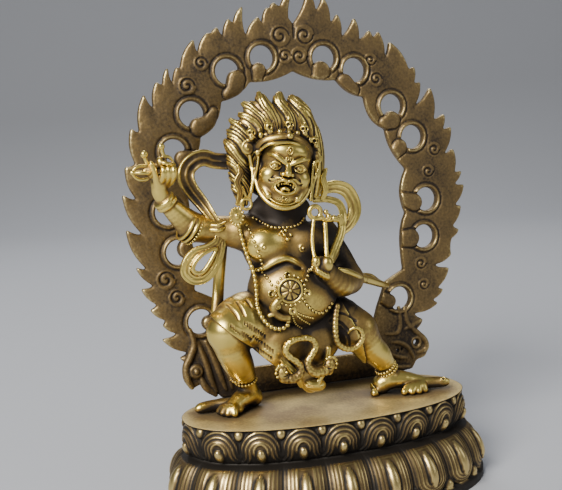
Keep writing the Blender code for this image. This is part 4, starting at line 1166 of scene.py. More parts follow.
def vajra():
    """The five-pronged thunderbolt in the raised hand."""
    clay = Clay((-84, -12, 94), (-54, 6, 117), 0.27)
    out = np.array(FRONT)
    for side, start, tip in VAJRA_ENDS:
        start, tip = np.array(start), np.array(tip)
        reach = np.linalg.norm(tip - start)
        along = (tip - start) / reach
        up = np.array((-along[2], 0.0, along[0])) * side
        clay.ball(start, (1.6, 2.2, 2.2), 0.3)
        clay.tube([start, tip], [1.0, 0.7], 0.2)
        for ahead in (up, -up, out, -out):
            route = [start + along * reach * r + ahead * w for r, w in PRONG]
            clay.tube(route, [0.7, 0.75, 0.7, 0.6, 0.4], 0.15)
        clay.ball(tip, (0.9, 0.9, 0.9), 0.2)
    clay.tube([(-74, -3.4, 103.4), (-70.2, -3.4, 105), (-66.5, -3.6, 106.4)], [1.3, 1.5, 1.3], 0.3)
    clay.ball((-74.2, -4, 110), (1.5, 1.3, 1.5), 0.2)
    clay.tube([(-74, -3.8, 108.8), (-73, -3.6, 105.6)], [0.8, 0.7], 0.2)
    clay.ball((-67.3, -4, 112.7), (1.4, 1.3, 1.4), 0.2)
    clay.tube([(-67.2, -3.9, 111.6), (-66.1, -3.6, 107.4)], [0.85, 0.8], 0.2)
    return clay


def scarves():
    """The scarf's loops and streamers beside both arms, and the two wavy ribbons beside the hair."""
    clay = Clay((-63, -24, 40), (42, 22, 116), 0.38)
    outer = [(-33.6, 8, 104.6), (-37.8, 8.5, 105), (-43, 9, 105.7), (-46.7, 9, 107), (-50.5, 9, 106.4),
             (-53.9, 9, 103.8), (-55.4, 8, 100.7), (-55.3, 7.5, 97.8), (-53.7, 6.5, 94.1), (-50.2, 4.5, 88.8),
             (-47.8, 2, 84.5), (-45.6, 0.4, 80.4)]
    widths = [3.0, 3.4, 3.4, 3.5, 3.6, 3.7, 3.7, 3.6, 3.3, 2.9, 2.4, 2.0]
    clay.strap(outer, widths, 1.1, 0.3, ridge=0.6)
    clay.tube([(-48.2, -1.6, 78.2), (-45.2, -2.8, 78), (-42.2, -1.6, 78.8)], 0.95, 0.15)
    clay.tube([(-47.8, -1.2, 80), (-45, -2.4, 79.8), (-42.2, -1.2, 80.6)], 0.75, 0.15)
    clay.ball((-45.2, -0.6, 79), (2.8, 2, 1.8), 0.3)
    loop = [(-45.3, 0, 77.6), (-46, -1.4, 73.6), (-50.1, -2, 71.2), (-55.6, -2, 69.9), (-59.3, -2, 66.1),
            (-60, -2, 61.6), (-56.9, -2, 58.5), (-52.1, -2, 58.7), (-47.8, -2, 62.7), (-44.6, -1.6, 69.7),
            (-43.4, -0.6, 76.4)]
    clay.strap(loop, [1.5, 1.7, 1.8, 1.8, 1.9, 2.0, 2.0, 1.9, 1.8, 1.6, 1.4], 1.1, 0.05, ridge=0.45)
    inner = [(-47.6, -3, 70.8), (-52.5, -3.4, 69), (-56, -3.4, 66), (-57.2, -3.4, 62.9), (-55.4, -3.4, 61.3),
             (-52.4, -3.4, 62.2), (-48.6, -3.2, 67.3), (-46.6, -2.6, 70.6)]
    clay.strap(inner, [0.7, 0.85, 0.9, 0.9, 0.9, 0.9, 0.85, 0.7], 1.0, 0.05)
    clay.tube([(-40.4, 7, 77), (-41.4, 8, 72.5), (-42.2, 9, 63.9), (-43.6, 9, 53.4), (-45.7, 6, 42.6)],
              [3.0, 2.6, 2.5, 2.5, 2.6], 0.5, 0.8)
    right = [(-2, 9, 90.6), (4.6, 9, 91), (11, 9.6, 91.6), (16.6, 10.2, 89.6), (19.8, 10.4, 84.6),
             (20, 10, 79.6), (16.8, 8.4, 75.2), (11.4, 6, 71.6)]
    clay.strap(right, [2.0, 2.4, 2.8, 3.1, 3.1, 3.1, 2.7, 1.8], 1.1, 0.3, ridge=0.35)
    lower = [(0.6, 8.5, 86.6), (6.8, 8.6, 86.4), (12, 8, 84.2), (13.6, 7.4, 79), (11.6, 4.6, 73.6),
             (7.2, -1, 68.3), (3.1, -8, 65), (-1.6, -14.6, 63)]
    clay.strap(lower, [1.4, 1.5, 1.6, 1.6, 1.5, 1.4, 1.3, 1.2], 1.1, 0.2, ridge=0.3)
    for route, size in (
        ([(-9, -15.2, 80.6), (-10.4, -16.6, 74), (-10.8, -18, 68.6), (-10.7, -20, 64.9)], 0.8),
        ([(-4.1, -15.2, 78.8), (-4.5, -16.6, 72.6), (-5.2, -18.4, 67.4), (-5.8, -20.6, 63.9)], 1.0),
    ):
        clay.tube(route, size, 0.1)
    diagonal = [(3.4, -11.6, 80.6), (5.4, -10, 77.2), (4.2, -11.6, 73.4), (0.3, -15, 68.6),
                (-3.4, -18.6, 64.8)]
    clay.strap(diagonal, [1.4, 1.8, 1.9, 1.8, 1.4], 0.9, 0.15, (0.3, -1, 0.1), ridge=0.3)
    clay.tube([(1.6, -14.8, 59), (6, -13.4, 57.6), (10.8, -10.8, 55.4), (16, -5.2, 52.8)],
              [1.2, 1.4, 1.4, 1.3], 0.3)
    clay.tube([(15.6, -5.6, 52.9), (20, -0.6, 51.2), (26, 4.2, 48.8), (32, 9.6, 46.4), (37.6, 15, 44.4)],
              [1.7, 1.9, 1.7, 1.6, 1.2], 0.3, 0.8)
    clay.tube([(17.4, -2.4, 53.8), (24, 3.4, 52), (30, 9, 48.6), (36.4, 15, 45)], [0.9, 0.9, 0.8, 0.6], 0.2)
    clay.tube([(16.4, -4, 52.6), (17, -3.6, 52.3)], 2.1, 0.15, steps=1)
    for wave in (
        [(-35.6, -0.6, 103.6), (-34.6, -1.2, 100.4), (-36.4, -1.2, 96.9), (-35.2, -1.2, 92.7),
         (-36.4, -0.6, 87.6)],
        [(3.4, 0, 100), (1.6, -0.4, 96), (2.6, -0.4, 91.6), (0.8, 0, 87)],
    ):
        clay.strap(wave, tapered(wave, 0.6, 1.4, 1.0), 0.8, 0.15, ridge=0.3)
    return clay


# The two snakes of the belt, the string that holds the pearls, and the snake's tail on the left thigh
BELT_LEFT = [(-17.6, -17.8, 33), (-20.6, -18.4, 32.8), (-23.4, -18.2, 31.2), (-24.2, -18.2, 28.6),
             (-22.6, -18.4, 26), (-20, -18.6, 23.8), (-18.2, -18.4, 21.4), (-18.4, -18.4, 18.8),
             (-21, -18.4, 17), (-24.2, -18.2, 17)]
BELT_RIGHT = [(-18.2, -17.8, 33), (-14.6, -18.2, 32.9), (-12, -18, 31.2), (-11.4, -18, 28.4),
              (-13.2, -18.2, 25.6), (-15, -18.2, 22.8), (-14.2, -18.4, 19.8), (-11.2, -18.6, 18.2),
              (-8, -18.6, 18.6)]
GARLAND = [(-38, -6.4, 79.6), (-37.2, -7, 74.5), (-36, -7.2, 69.6), (-34.6, -7.6, 65), (-33.4, -8.6, 60.6),
           (-33, -9.6, 56), (-33.2, -10.8, 51.6), (-33.9, -13.4, 47.4), (-33, -15.2, 43.6),
           (-31, -15.8, 40.4), (-27.5, -15.2, 37.8), (-23.6, -14.8, 37.4), (-21.4, -14.8, 39.2),
           (-22.4, -15.4, 41.2)]
TAIL = [(2, -10.6, 43.6), (0.8, -11.6, 40.3), (0, -12.4, 36), (-0.2, -13, 31.6), (0.8, -13, 27.6),
        (4.4, -13, 25), (8.6, -13, 25), (11.4, -13.6, 28), (11.4, -13.8, 31.6), (9.2, -13.6, 33.6),
        (6.8, -13, 33), (5.8, -12.2, 31.2)]


def snakes():
    """The knotted belt of two snakes, and the snake that wears the long string of pearls."""
    clay = Clay((-41, -25, 11), (17, -2, 84), 0.27)
    clay.tube(BELT_LEFT, [1.3, 1.4, 1.45, 1.45, 1.45, 1.5, 1.6, 1.8, 2.1, 1.9], 0.1,
              shape=pits(1.55, 0.42, 6), steps=6)
    clay.tube(BELT_RIGHT, [1.3, 1.4, 1.45, 1.45, 1.5, 1.6, 1.85, 2.3, 2.3], 0.1, shape=pits(1.55, 0.42, 6),
              steps=6)
    snake_head(clay, (-25.8, -18.2, 19.8), -1)
    snake_head(clay, (-5.6, -18.4, 20.6), 1)
    clay.tube(GARLAND, 0.62, 0.05, steps=5)
    clay.tube([(-22, -15.6, 41.6), (-24.8, -15.8, 42.2), (-27.2, -15.6, 44.2), (-27.6, -15.6, 46.6),
               (-26, -16.2, 49), (-23.6, -16.4, 50.8)], [1.5, 1.5, 1.6, 2.0, 1.7, 0.8], 0.3)
    clay.ball((-26.4, -17.6, 47), (0.55, 0.5, 0.55), 0.1)
    clay.tube(circle((-26.4, -17.5, 47), 0.95, 0.95, 9), 0.25, 0.1)
    clay.tube([(-26.4, -17.4, 49.8), (-24, -17.6, 50.4)], 0.25, 0.1, cut=True)
    clay.tube([(-29.6, -15.4, 43.4), (-28.2, -16, 44)], [1.0, 1.1], 0.2)
    clay.tube(TAIL, [1.35, 1.4, 1.45, 1.45, 1.45, 1.4, 1.35, 1.25, 1.1, 0.9, 0.7, 0.35], 0.05,
              shape=rings(1.75, 0.34), steps=7)
    return clay


def snake_head(clay, at, side):
    """A snake's head seen on its fanned hood: rows of knobs along its edge and a curled snout."""
    x, y, z = at
    clay.tube([(x - side * 0.2, y, z - 2.4), (x, y - 0.3, z - 0.2), (x + side * 0.4, y, z + 2.2)],
              [1.9, 2.3, 1.5], 0.4, 0.8, shape=pits(1.55, 0.3, 6))
    for k, size in enumerate((0.6, 0.7, 0.8, 0.95, 0.95, 0.8)):
        turn = radians(-35.0 + 32.0 * k)
        clay.ball((x + side * (0.4 + 2.7 * cos(turn)), y - 0.5, z + 0.4 + 3.0 * sin(turn)),
                  (size, size, size), 0.1)
    clay.ball((x - side * 1.0, y - 2.0, z + 0.6), (0.6, 0.5, 0.6), 0.1)
    clay.tube([(x - side * 2.0, y - 1.4, z - 0.8), (x + side * 0.6, y - 2.2, z - 1.2)], 0.28, 0.1, cut=True)


# The belly's wheel: its place in (x, z), its tilt, and its half width, rise and spokes
WHEEL = (-20.7, 53.0)
WHEEL_TURN = (-6.0, 0.0, -14.0)
WHEEL_RADIUS = 5.0
WHEEL_RISE = 1.5
SPOKES = 8

# Knobs beside the wheel and beads of the pendant, as (x, z) and size, and beads by the left ear
KNOBS = [(-20.8, 59.2, 1.1), (-27.7, 51.8, 1.3), (-13.8, 51.4, 1.3), (-19.9, 44.4, 1.4)]
PENDANT = [(-21, 76.2, 0.75), (-19.2, 76.5, 0.75), (-22.3, 75.3, 0.6), (-20.2, 74.8, 0.8), (-17.3, 74.6, 0.8),
           (-19, 73, 0.95)]
EAR_BEADS = [((-3.4, -14.8, 83.4), 1.1), ((-2.2, -14.8, 81.4), 1.35), ((0.4, -14, 80.4), 1.5),
             ((-5.4, -15.2, 81.2), 1.1), ((2.4, -12.8, 79.8), 1.2)]
ROSETTE = (-39.4, -8.4, 83.6)
ROSETTE_BEADS = 14


def jewellery(body):
    """The belly's wheel, ringed knobs, earrings, rosettes and the pendant, laid on the body."""
    clay = Clay((-45, -25, 38), (6, 0, 95), 0.26)
    add_wheel(clay, body)
    for x, z, size in KNOBS:
        met = body.front(x, z)
        clay.ball(met, (size, 0.8, size), 0.1)
        clay.tube(circle(met - (0, 0.5, 0), size, size), 0.42, 0.1, steps=2)
        clay.ball(met - (0, 1, 0), (0.5 * size, 1.0, 0.5 * size), 0.05, cut=True)
    for x, z, size in PENDANT:
        clay.ball(body.front(x, z) - (0, 0.4, 0), (size, size, size), 0.1)
    clay.tube(circle((-34.9, -8, 88.3), 2.15, 2.15), 0.62, 0.1, steps=3)
    clay.tube([(-32.4, -6.2, 92.2), (-33.2, -6.8, 90.4)], [0.7, 1.0], 0.2)
    clay.tube(circle((-8.2, -15, 83.6), 2.5, 2.5), 0.95, 0.1, steps=3)
    add_rosette(clay)
    for at, size in EAR_BEADS:
        clay.ball(at, (size, size, size), 0.25)
    clay.tube([(-8.6, -15.2, 81), (-3, -14.8, 80.2), (2.4, -12.6, 79.2)], 0.65, 0.3)
    return clay


def add_wheel(clay, body):
    """A domed disc with a rim, a groove inside it, spokes and a hub."""
    x, z = WHEEL
    hub = np.array((x, body.front(x, z)[1] - 0.2, z))
    turned = spin(WHEEL_TURN)

    def spot(r, angle, lift):
        return hub + turned @ np.array((r * cos(angle), -lift, r * sin(angle)))

    def rise(r):
        return WHEEL_RISE * sqrt(1.0 - (r / WHEEL_RADIUS) ** 2)

    clay.ball(hub, (WHEEL_RADIUS, WHEEL_RISE, WHEEL_RADIUS), 0.1, WHEEL_TURN)
    for k in range(SPOKES):
        angle = 2.0 * pi * k / SPOKES + 0.2
        clay.tube([spot(r, angle, rise(r)) for r in (0.8, 2.4, 3.8)], [0.22, 0.34, 0.5], 0.02, cut=True)
    turns = np.linspace(0, 2 * pi, 25)
    clay.tube([spot(4.1, a, rise(4.1)) for a in turns], 0.34, 0.02, steps=2, cut=True)
    clay.tube([spot(4.8, a, 0.7) for a in turns], 0.55, 0.05, steps=2)
    clay.ball(spot(0, 0, 1.6), (0.75, 0.6, 0.75), 0.02)


def add_rosette(clay):
    """The beaded flower under the right ear."""
    x, y, z = ROSETTE
    clay.ball(ROSETTE, (2.9, 1.3, 3.5), 0.2)
    for k in range(ROSETTE_BEADS):
        angle = 2.0 * pi * k / ROSETTE_BEADS
        clay.ball((x + 2.8 * cos(angle), y - 0.4, z + 3.5 * sin(angle)), (0.62, 0.8, 0.62), 0.03)
    clay.tube(circle((x, y - 1.3, z), 1.75, 2.2), 0.32, 0.02, steps=2, cut=True)
    clay.ball((x, y - 1.1, z), (1, 0.7, 1.3), 0.05)


# Pearls

GARLAND_PITCH = 1.95
WHEEL_PEARLS = 20
PEARL_HOLLOW = 0.60


def unit_ball():
    """Points and faces of the ball that every pearl is made from."""
    made = bmesh.new()
    bmesh.ops.create_icosphere(made, subdivisions=3, radius=1.0)
    points = np.array([vert.co[:] for vert in made.verts])
    faces = np.array([[vert.index for vert in face.verts] for face in made.faces])
    made.free()
    return points, faces


def around(centre, axis, size, count, squash=1.0):
    """Places round a limb."""
    axis = np.array(axis, float) / np.linalg.norm(axis)
    side = np.cross(axis, (0.3, 1, 0.2))
    side /= np.linalg.norm(side)
    other = np.cross(axis, side)
    turns = 2.0 * pi * np.arange(count) / count
    return [np.array(centre) + size * (side * cos(a) + squash * other * sin(a)) for a in turns]


# Strings of pearls on the body: places in (x, z), pearl radius and pitch
STRINGS = [
    ([(-30.6, 81.8), (-29.3, 81.2), (-27.3, 79.8), (-25.7, 78.6), (-23.7, 77.9), (-20.2, 77.7),
      (-17.4, 77.6), (-14.7, 78), (-12, 78.8), (-9.8, 80.4)], 0.72, 1.7),
    ([(-34.4, 79.4), (-33.7, 77.6), (-33.2, 75.7), (-33, 73.3), (-32.5, 71.3), (-31.9, 68.8), (-30.8, 66.4),
      (-29.6, 63.6)], 0.8, 2.2),
    ([(-31.8, 58.3), (-31.6, 60.6), (-30.2, 61.8)], 0.72, 1.8),
    ([(-29.3, 59.9), (-28, 57.3), (-27.2, 55.2)], 0.74, 1.8),
    ([(-11.7, 62), (-12, 59.5), (-13.1, 57.2), (-14.6, 55)], 0.85, 1.9),
    ([(-15, 48.1), (-13.7, 46.1), (-11.9, 44.3), (-10, 42.8), (-6.4, 41.6), (-3.3, 43), (-1.3, 44.9)],
     0.82, 2),
    ([(-18.2, 43.4), (-16.6, 42.5), (-14.2, 41.3), (-10.6, 40)], 0.6, 1.3),
    ([(-18.3, 42.7), (-16.7, 41), (-14.8, 39.5), (-11.6, 37.3)], 0.6, 1.3),
    ([(-19.6, 42), (-18.6, 39.6), (-17.2, 37.6), (-14.8, 35.7)], 0.6, 1.3),
    ([(-37, 51.2), (-36.8, 49.7), (-36.4, 48.3)], 0.7, 1.6),
    ([(-31, 43.6), (-29.6, 43)], 0.9, 1.7),
]


def pearl_strings(body):
    """Every pearl as its place and radius."""
    found = []
    for route, size, pitch in STRINGS:
        found.extend((at, size) for at in laid(body, route, pitch, 0.15))
    x, z = WHEEL
    middle = body.front(x, z)
    for k in range(WHEEL_PEARLS):
        angle = 2.0 * pi * k / WHEEL_PEARLS
        at = middle + spin(WHEEL_TURN) @ np.array((6.1 * cos(angle), -0.5, 6.1 * sin(angle)))
        met = body.front(at[0], at[2])
        found.append((np.array((at[0], min(at[1], met[1] - 0.2), at[2])), 0.68))
    beads, _ = smooth_route(GARLAND, [1.0] * len(GARLAND), 12)
    run = run_along(beads)
    for at in np.arange(0.0, run[-1], GARLAND_PITCH):
        place = np.array([np.interp(at, run, beads[:, k]) for k in range(3)])
        found.append((place, 0.95 + 0.2 * at / run[-1]))
    for lift in (0.0, 1.9):
        right = around((-35.5 - 0.9 * lift, 3.2 - 0.4 * lift, 12.8 + lift), (-0.2, -0.3, 1), 4.5 + 0.1 * lift,
                       20)
        left = around((28.4 - 0.6 * lift, -2.3, 10.2 + 0.8 * lift), (-0.5, -0.1, 0.8), 4.3 + 0.15 * lift, 20)
        found.extend((at, 0.78) for at in right + left)
    found.extend((at, 0.62) for at in around((-54, 3.6, 77.9), UPPER_ARM_WAY, 6.2, 28))
    return found


def add_pearls(body):
    """All pearls as one piece."""
    ball, faces = unit_ball()
    points, quads, patina_and_shade = [], [], []
    for at, size in pearl_strings(body):
        quads.append(faces + len(points) * len(ball))
        points.append(ball * size + at)
        # Each pearl is darker towards its back, where it lies against the body: painted shade.
        patina_and_shade.append(PEARL_HOLLOW + 0.22 * ball[:, 1])
    mesh = bpy.data.meshes.new("pearls")
    mesh.from_pydata(np.concatenate(points), [], np.concatenate(quads).tolist())
    finish_mesh(mesh, "pearls", "vajrapani_figure", "figure_brass", np.concatenate(points),
                np.concatenate(patina_and_shade))


def torso_painted_shade(x, y, z):
    """Painted shade: the neck under the chin and the left side, shoulder and arm, away from the key lamp, are
    darker than the rest.
    """
    neck = bell(z - 87.0, 7.0) * bell(x + 17.0, 12.0)
    left_arm = ramp(x, -5.0, 5.0) * ramp(z, 44.0, 6.0)
    left_side = ramp(x, -15.0, 6.0) * ramp(z, 50.0, 18.0)
    return 0.28 * neck + 0.05 * left_arm + 0.14 * left_side - 0.02


def leg_painted_shade(x, y, z):
    """Painted shade: the hips and the left thigh, away from the key lamp, and the great toes by the base are
    darker than the knee and the shins.
    """
    hips = ramp(x, -32.0, 12.0) * ramp(z, 22.0, 8.0)
    great_toes = ramp(np.abs(x), 43.0, 5.0) * ramp(z, 9.0, -3.0)
    return 0.09 * hips + 0.12 * great_toes - 0.04


def combed_patina(x, y, z):
    """The grooves between the hair's strands are dark."""
    return 0.22 * (1.0 - np.abs(np.cos(pi * strand_at(x, z) / STRAND_PITCH))) ** 2 - 0.05


def scarf_patina(x, y, z):
    """The scarf's upper right loop is dark."""
    return 0.05 + 0.13 * ramp(z, 84.0, 6.0) * ramp(x, -22.0, -6.0)


def figure():
    body = torso()
    for name, clay, tone, keep in (
        ("torso", body, torso_painted_shade, 0.5),
        ("legs", legs(), leg_painted_shade, 0.4),
        ("hair", hair(), combed_patina, 0.7),
        ("crown", crown(), 0.08, 1.0),
        ("thunderbolt", vajra(), 0.08, 1.0),
        ("scarves", scarves(), scarf_patina, 0.7),
        ("snakes", snakes(), 0.11, 1.0),
        ("jewellery", jewellery(body), 0.07, 1.0),
    ):
        skin(clay, name, "vajrapani_figure", "figure_brass", keep=keep, tone=tone)
    skin(head(), "head", "vajrapani_figure", "figure_brass", head_lean, 0.75, -0.035)
    add_pearls(body)


# Lotus base


# The flat top: the rings that span it, the height it is counted from, and how worn it is, with painted light
# as it faces up
TOP_RINGS = (0.985, 0.96, 0.92, 0.87, 0.81, 0.74, 0.66, 0.57, 0.47, 0.36, 0.24, 0.1)
TOP_FROM = BASE_HEIGHT - 0.1
TOP_WEAR_AND_LIGHT = 0.34


def oval(angles, half_width, half_depth):
    """Points and outward directions of a squared oval."""
    c, s = np.cos(angles), np.sin(angles)
    share = 2.0 / OVAL_POWER
    points = np.stack([half_width * np.sign(c) * abs(c) ** share, half_depth * np.sign(s) * abs(s) ** share],
                      -1)
    rest = 2.0 - share
    out = np.stack([np.sign(c) * abs(c) ** rest / half_width, np.sign(s) * abs(s) ** rest / half_depth], -1)
    return points, out / np.linalg.norm(out, axis=-1, keepdims=True)


def even_angles(count):
    """Parameter angles that divide the rim into equal lengths."""
    fine = np.linspace(0.0, 2.0 * pi, 2881)
    rim = oval(fine, RIM_HALF_WIDTH, RIM_HALF_DEPTH)[0]
    run = run_along(rim)
    wanted = (np.arange(count) / count + PETAL_SHIFT / PETALS) % 1.0
    return np.interp(wanted * run[-1], run, fine)


# Petals: radius and height of the body, arches as place, height and width, and half width, half length and
# height of the boss and of the leaf that shows between two petals
UPPER_BODY = (8.7, 2.4)
UPPER_ARCHES = ((7.9, 0.75, 0.5), (6.2, 0.65, 0.5), (4.6, 0.6, 0.5))
UPPER_FRAME = (2.9, 0.7, 0.42)
UPPER_BOSS = (2, 3.1, 1.9)
UPPER_LEAF = (2.2, 0.17, 1.9)
LOWER_BODY = (8.8, 2.6)
LOWER_ARCHES = ((8, 0.7, 0.48), (6.5, 0.6, 0.48), (5, 0.6, 0.48), (3.5, 0.5, 0.48))
LOWER_BOSS = (2.3, 8.6, 2)
LOWER_LEAF = (2.4, 0.16, 2.4)


def pillow(reach, radius, height):
    return height * np.clip(1.0 - (reach / radius) ** 2, 0.0, 1.0) ** 0.8


def egg(across, along, half_width, half_length, height):
    """Height of half an egg that lies on the surface."""
    away = np.sqrt((across / half_width) ** 2 + (along / half_length) ** 2)
    return height * np.sqrt(np.clip(1.0 - away**2, 0.0, 1.0))


def upper_relief(u, v):
    """Upright petal: nested arches round an oval boss; u is -0.5 to 0.5 across it, v 0 to 1 up the tier."""
    across = np.abs(u) * PETAL_PITCH
    up = (v - 0.36) * (BASE_HEIGHT - WAIST_HEIGHT)
    low = np.minimum(up, 0.0)
    reach = np.hypot(across * (1.0 - 0.012 * low**2), np.maximum(up, 0.0) * 0.96)
    found = pillow(reach, *UPPER_BODY)
    for arch in UPPER_ARCHES:
        found = found + ridge(reach, *arch)
    found = found + ridge(np.hypot(across, up * 0.75), *UPPER_FRAME) * ramp(up, -2.5, 2.5)
    found = found + egg(across, up + 1.6, *UPPER_BOSS)
    leaf = egg(PETAL_PITCH / 2.0 - across, v - 0.84, *UPPER_LEAF) * ramp(v, 1.02, -0.1)
    return np.maximum(found, leaf) * ramp(v, 1.0, -0.05)


def lower_relief(u, v):
    """Hanging petal: long nested grooves round a long boss; v runs down the tier from 0 at the waist to 1."""
    across = np.abs(u) * PETAL_PITCH
    reach = np.hypot(across, np.maximum((v - 0.66) * LOWER_PETAL_LENGTH, 0.0))
    found = pillow(reach, *LOWER_BODY)
    for arch in LOWER_ARCHES:
        found = found + ridge(reach, *arch)
    found = found + egg(across, (v - 0.47) * LOWER_PETAL_LENGTH, *LOWER_BOSS)
    leaf = egg(PETAL_PITCH / 2.0 - across, v - 0.93, *LOWER_LEAF)
    return np.maximum(found, leaf) * ramp(v, 0.0, 1.0 / 14.0)


def base_rings(u):
    """The base's outlines from the ground up: height, half width, half depth and the relief round each."""
    flat = 0.0 * u
    found = [(FOOT_BAND_HEIGHT * t, FOOT_HALF_WIDTH, FOOT_HALF_DEPTH, flat) for t in (0, 0.1, 0.5, 0.9)]
    tier = WAIST_HEIGHT - FOOT_BAND_HEIGHT
    for v in np.linspace(0.985, 0.0, LOWER_ROWS):
        share = sqrt(1.0 - (1.0 - v) ** 2)
        spread_x = FOOT_HALF_WIDTH - LOWER_PETAL_INSET - WAIST_HALF_WIDTH
        spread_y = FOOT_HALF_DEPTH - LOWER_PETAL_INSET - WAIST_HALF_DEPTH
        half_width = WAIST_HALF_WIDTH - WAIST_GROOVE + spread_x * share
        half_depth = WAIST_HALF_DEPTH - WAIST_GROOVE + spread_y * share
        found.append((WAIST_HEIGHT - tier * v, half_width, half_depth, lower_relief(u, v)))
    tier = BASE_HEIGHT - WAIST_HEIGHT
    for v in np.linspace(0.01, 0.99, UPPER_ROWS):
        bulge = 1.9 * sin(pi * (0.15 + 0.75 * v)) - 2.6
        half_width = WAIST_HALF_WIDTH + (RIM_HALF_WIDTH - WAIST_HALF_WIDTH) * sqrt(v) + bulge
        half_depth = WAIST_HALF_DEPTH + (RIM_HALF_DEPTH - WAIST_HALF_DEPTH) * sqrt(v) + bulge
        to_rim = ramp(v, 0.93, 0.06)
        half_width += (RIM_HALF_WIDTH - half_width) * to_rim
        half_depth += (RIM_HALF_DEPTH - half_depth) * to_rim
        found.append((WAIST_HEIGHT + tier * v, half_width, half_depth, upper_relief(u, v)))
    found.append((BASE_HEIGHT - 0.05, RIM_HALF_WIDTH - 0.25, RIM_HALF_DEPTH - 0.25, flat))
    for share in TOP_RINGS:
        found.append((BASE_HEIGHT, RIM_HALF_WIDTH * share, RIM_HALF_DEPTH * share, flat))
    return found


def base_patina_and_light(heights, relief):
    """Dark between the ridges and at the waist; evenly worn on top and lighter there, with painted light on
    the upward face.
    """
    wrapped = np.concatenate([relief[:, -8:], relief, relief[:, :8]], 1)
    local = blurred(wrapped, 2)[:, 8:-8]
    found = 0.52 + 0.5 * (local - relief)
    found = found + 0.3 * bell(heights - WAIST_HEIGHT, 1.6) + 0.05 * (heights < BASE_HEIGHT) * (2.0 - local)
    # The top takes one lighter value: wear and painted light from above.
    return np.where(heights >= TOP_FROM, TOP_WEAR_AND_LIGHT, np.clip(found, 0.36, 1.0))


def lotus_base():
    columns = PETALS * COLUMNS_PER_PETAL
    angles = even_angles(columns)
    rings = base_rings((np.arange(columns) % COLUMNS_PER_PETAL) / COLUMNS_PER_PETAL - 0.5)
    points = []
    for height, half_width, half_depth, relief in rings:
        at, out = oval(angles, half_width, half_depth)
        points.append(np.column_stack([at + out * relief[:, None], np.full(columns, height - SEAT[2])]))
    points = np.concatenate(points)
    here = np.arange(columns)
    after = np.roll(here, -1)
    faces = []
    for low in range(0, (len(rings) - 1) * columns, columns):
        high = low + columns
        faces.extend(np.column_stack([low + here, low + after, high + after, high + here]).tolist())
    faces.append(list(reversed(range(columns))))
    faces.append(list(range((len(rings) - 1) * columns, len(rings) * columns)))
    mesh = bpy.data.meshes.new("base")
    mesh.from_pydata(points, [], faces)
    heights = np.array([ring[0] for ring in rings])[:, None]
    patina_and_shade = base_patina_and_light(heights, np.array([ring[3] for ring in rings], np.float32))
    keep_values(mesh, "satin", np.repeat(heights >= TOP_FROM, columns))
    finish_mesh(mesh, "base", "lotus_base", "base_brass", points, patina_and_shade.ravel())


# Brass


# Each brass: its colours where it is worn, between, and in its hollows and painted shade; the values of
# patina and painted shade that part them; its roughness where it is worn and in its hollows; its grain; and
# how much clouds and specks of patina shift it
LOOKS = {
    "figure_brass": {
        "bright": (0.92, 0.70, 0.18), "middle": (0.40, 0.26, 0.08), "dark": (0.024, 0.017, 0.012),
        "limits": (0.61, 0.675, 0.725, 0.80), "rough": (0.28, 0.6), "grain": 0.12, "mottle": (0.16, 0.06),
    },
    "base_brass": {
        "bright": (0.70, 0.53, 0.21), "middle": (0.25, 0.17, 0.075), "dark": (0.02, 0.016, 0.012),
        "limits": (0.54, 0.63, 0.71, 0.81), "rough": (0.32, 0.6), "grain": 0.2, "mottle": (0.18, 0.08),
    },
    "aureole_brass": {
        "bright": (0.62, 0.48, 0.21), "middle": (0.28, 0.19, 0.08), "dark": (0.030, 0.021, 0.014),
        "limits": (0.59, 0.71, 0.82, 0.94), "rough": (0.36, 0.65), "grain": 0.7, "mottle": (0.28, 0.27),
    },
}
CLOUDS = (70.0, 3.0)
SPECKS = (900.0, 2.0)
GRAIN = (420.0, 3.0)
GRAIN_DEPTH = 0.0004
SHADE_SHARE = 0.5
HOLLOW_METAL = 0.55
SATIN_METAL = -0.65


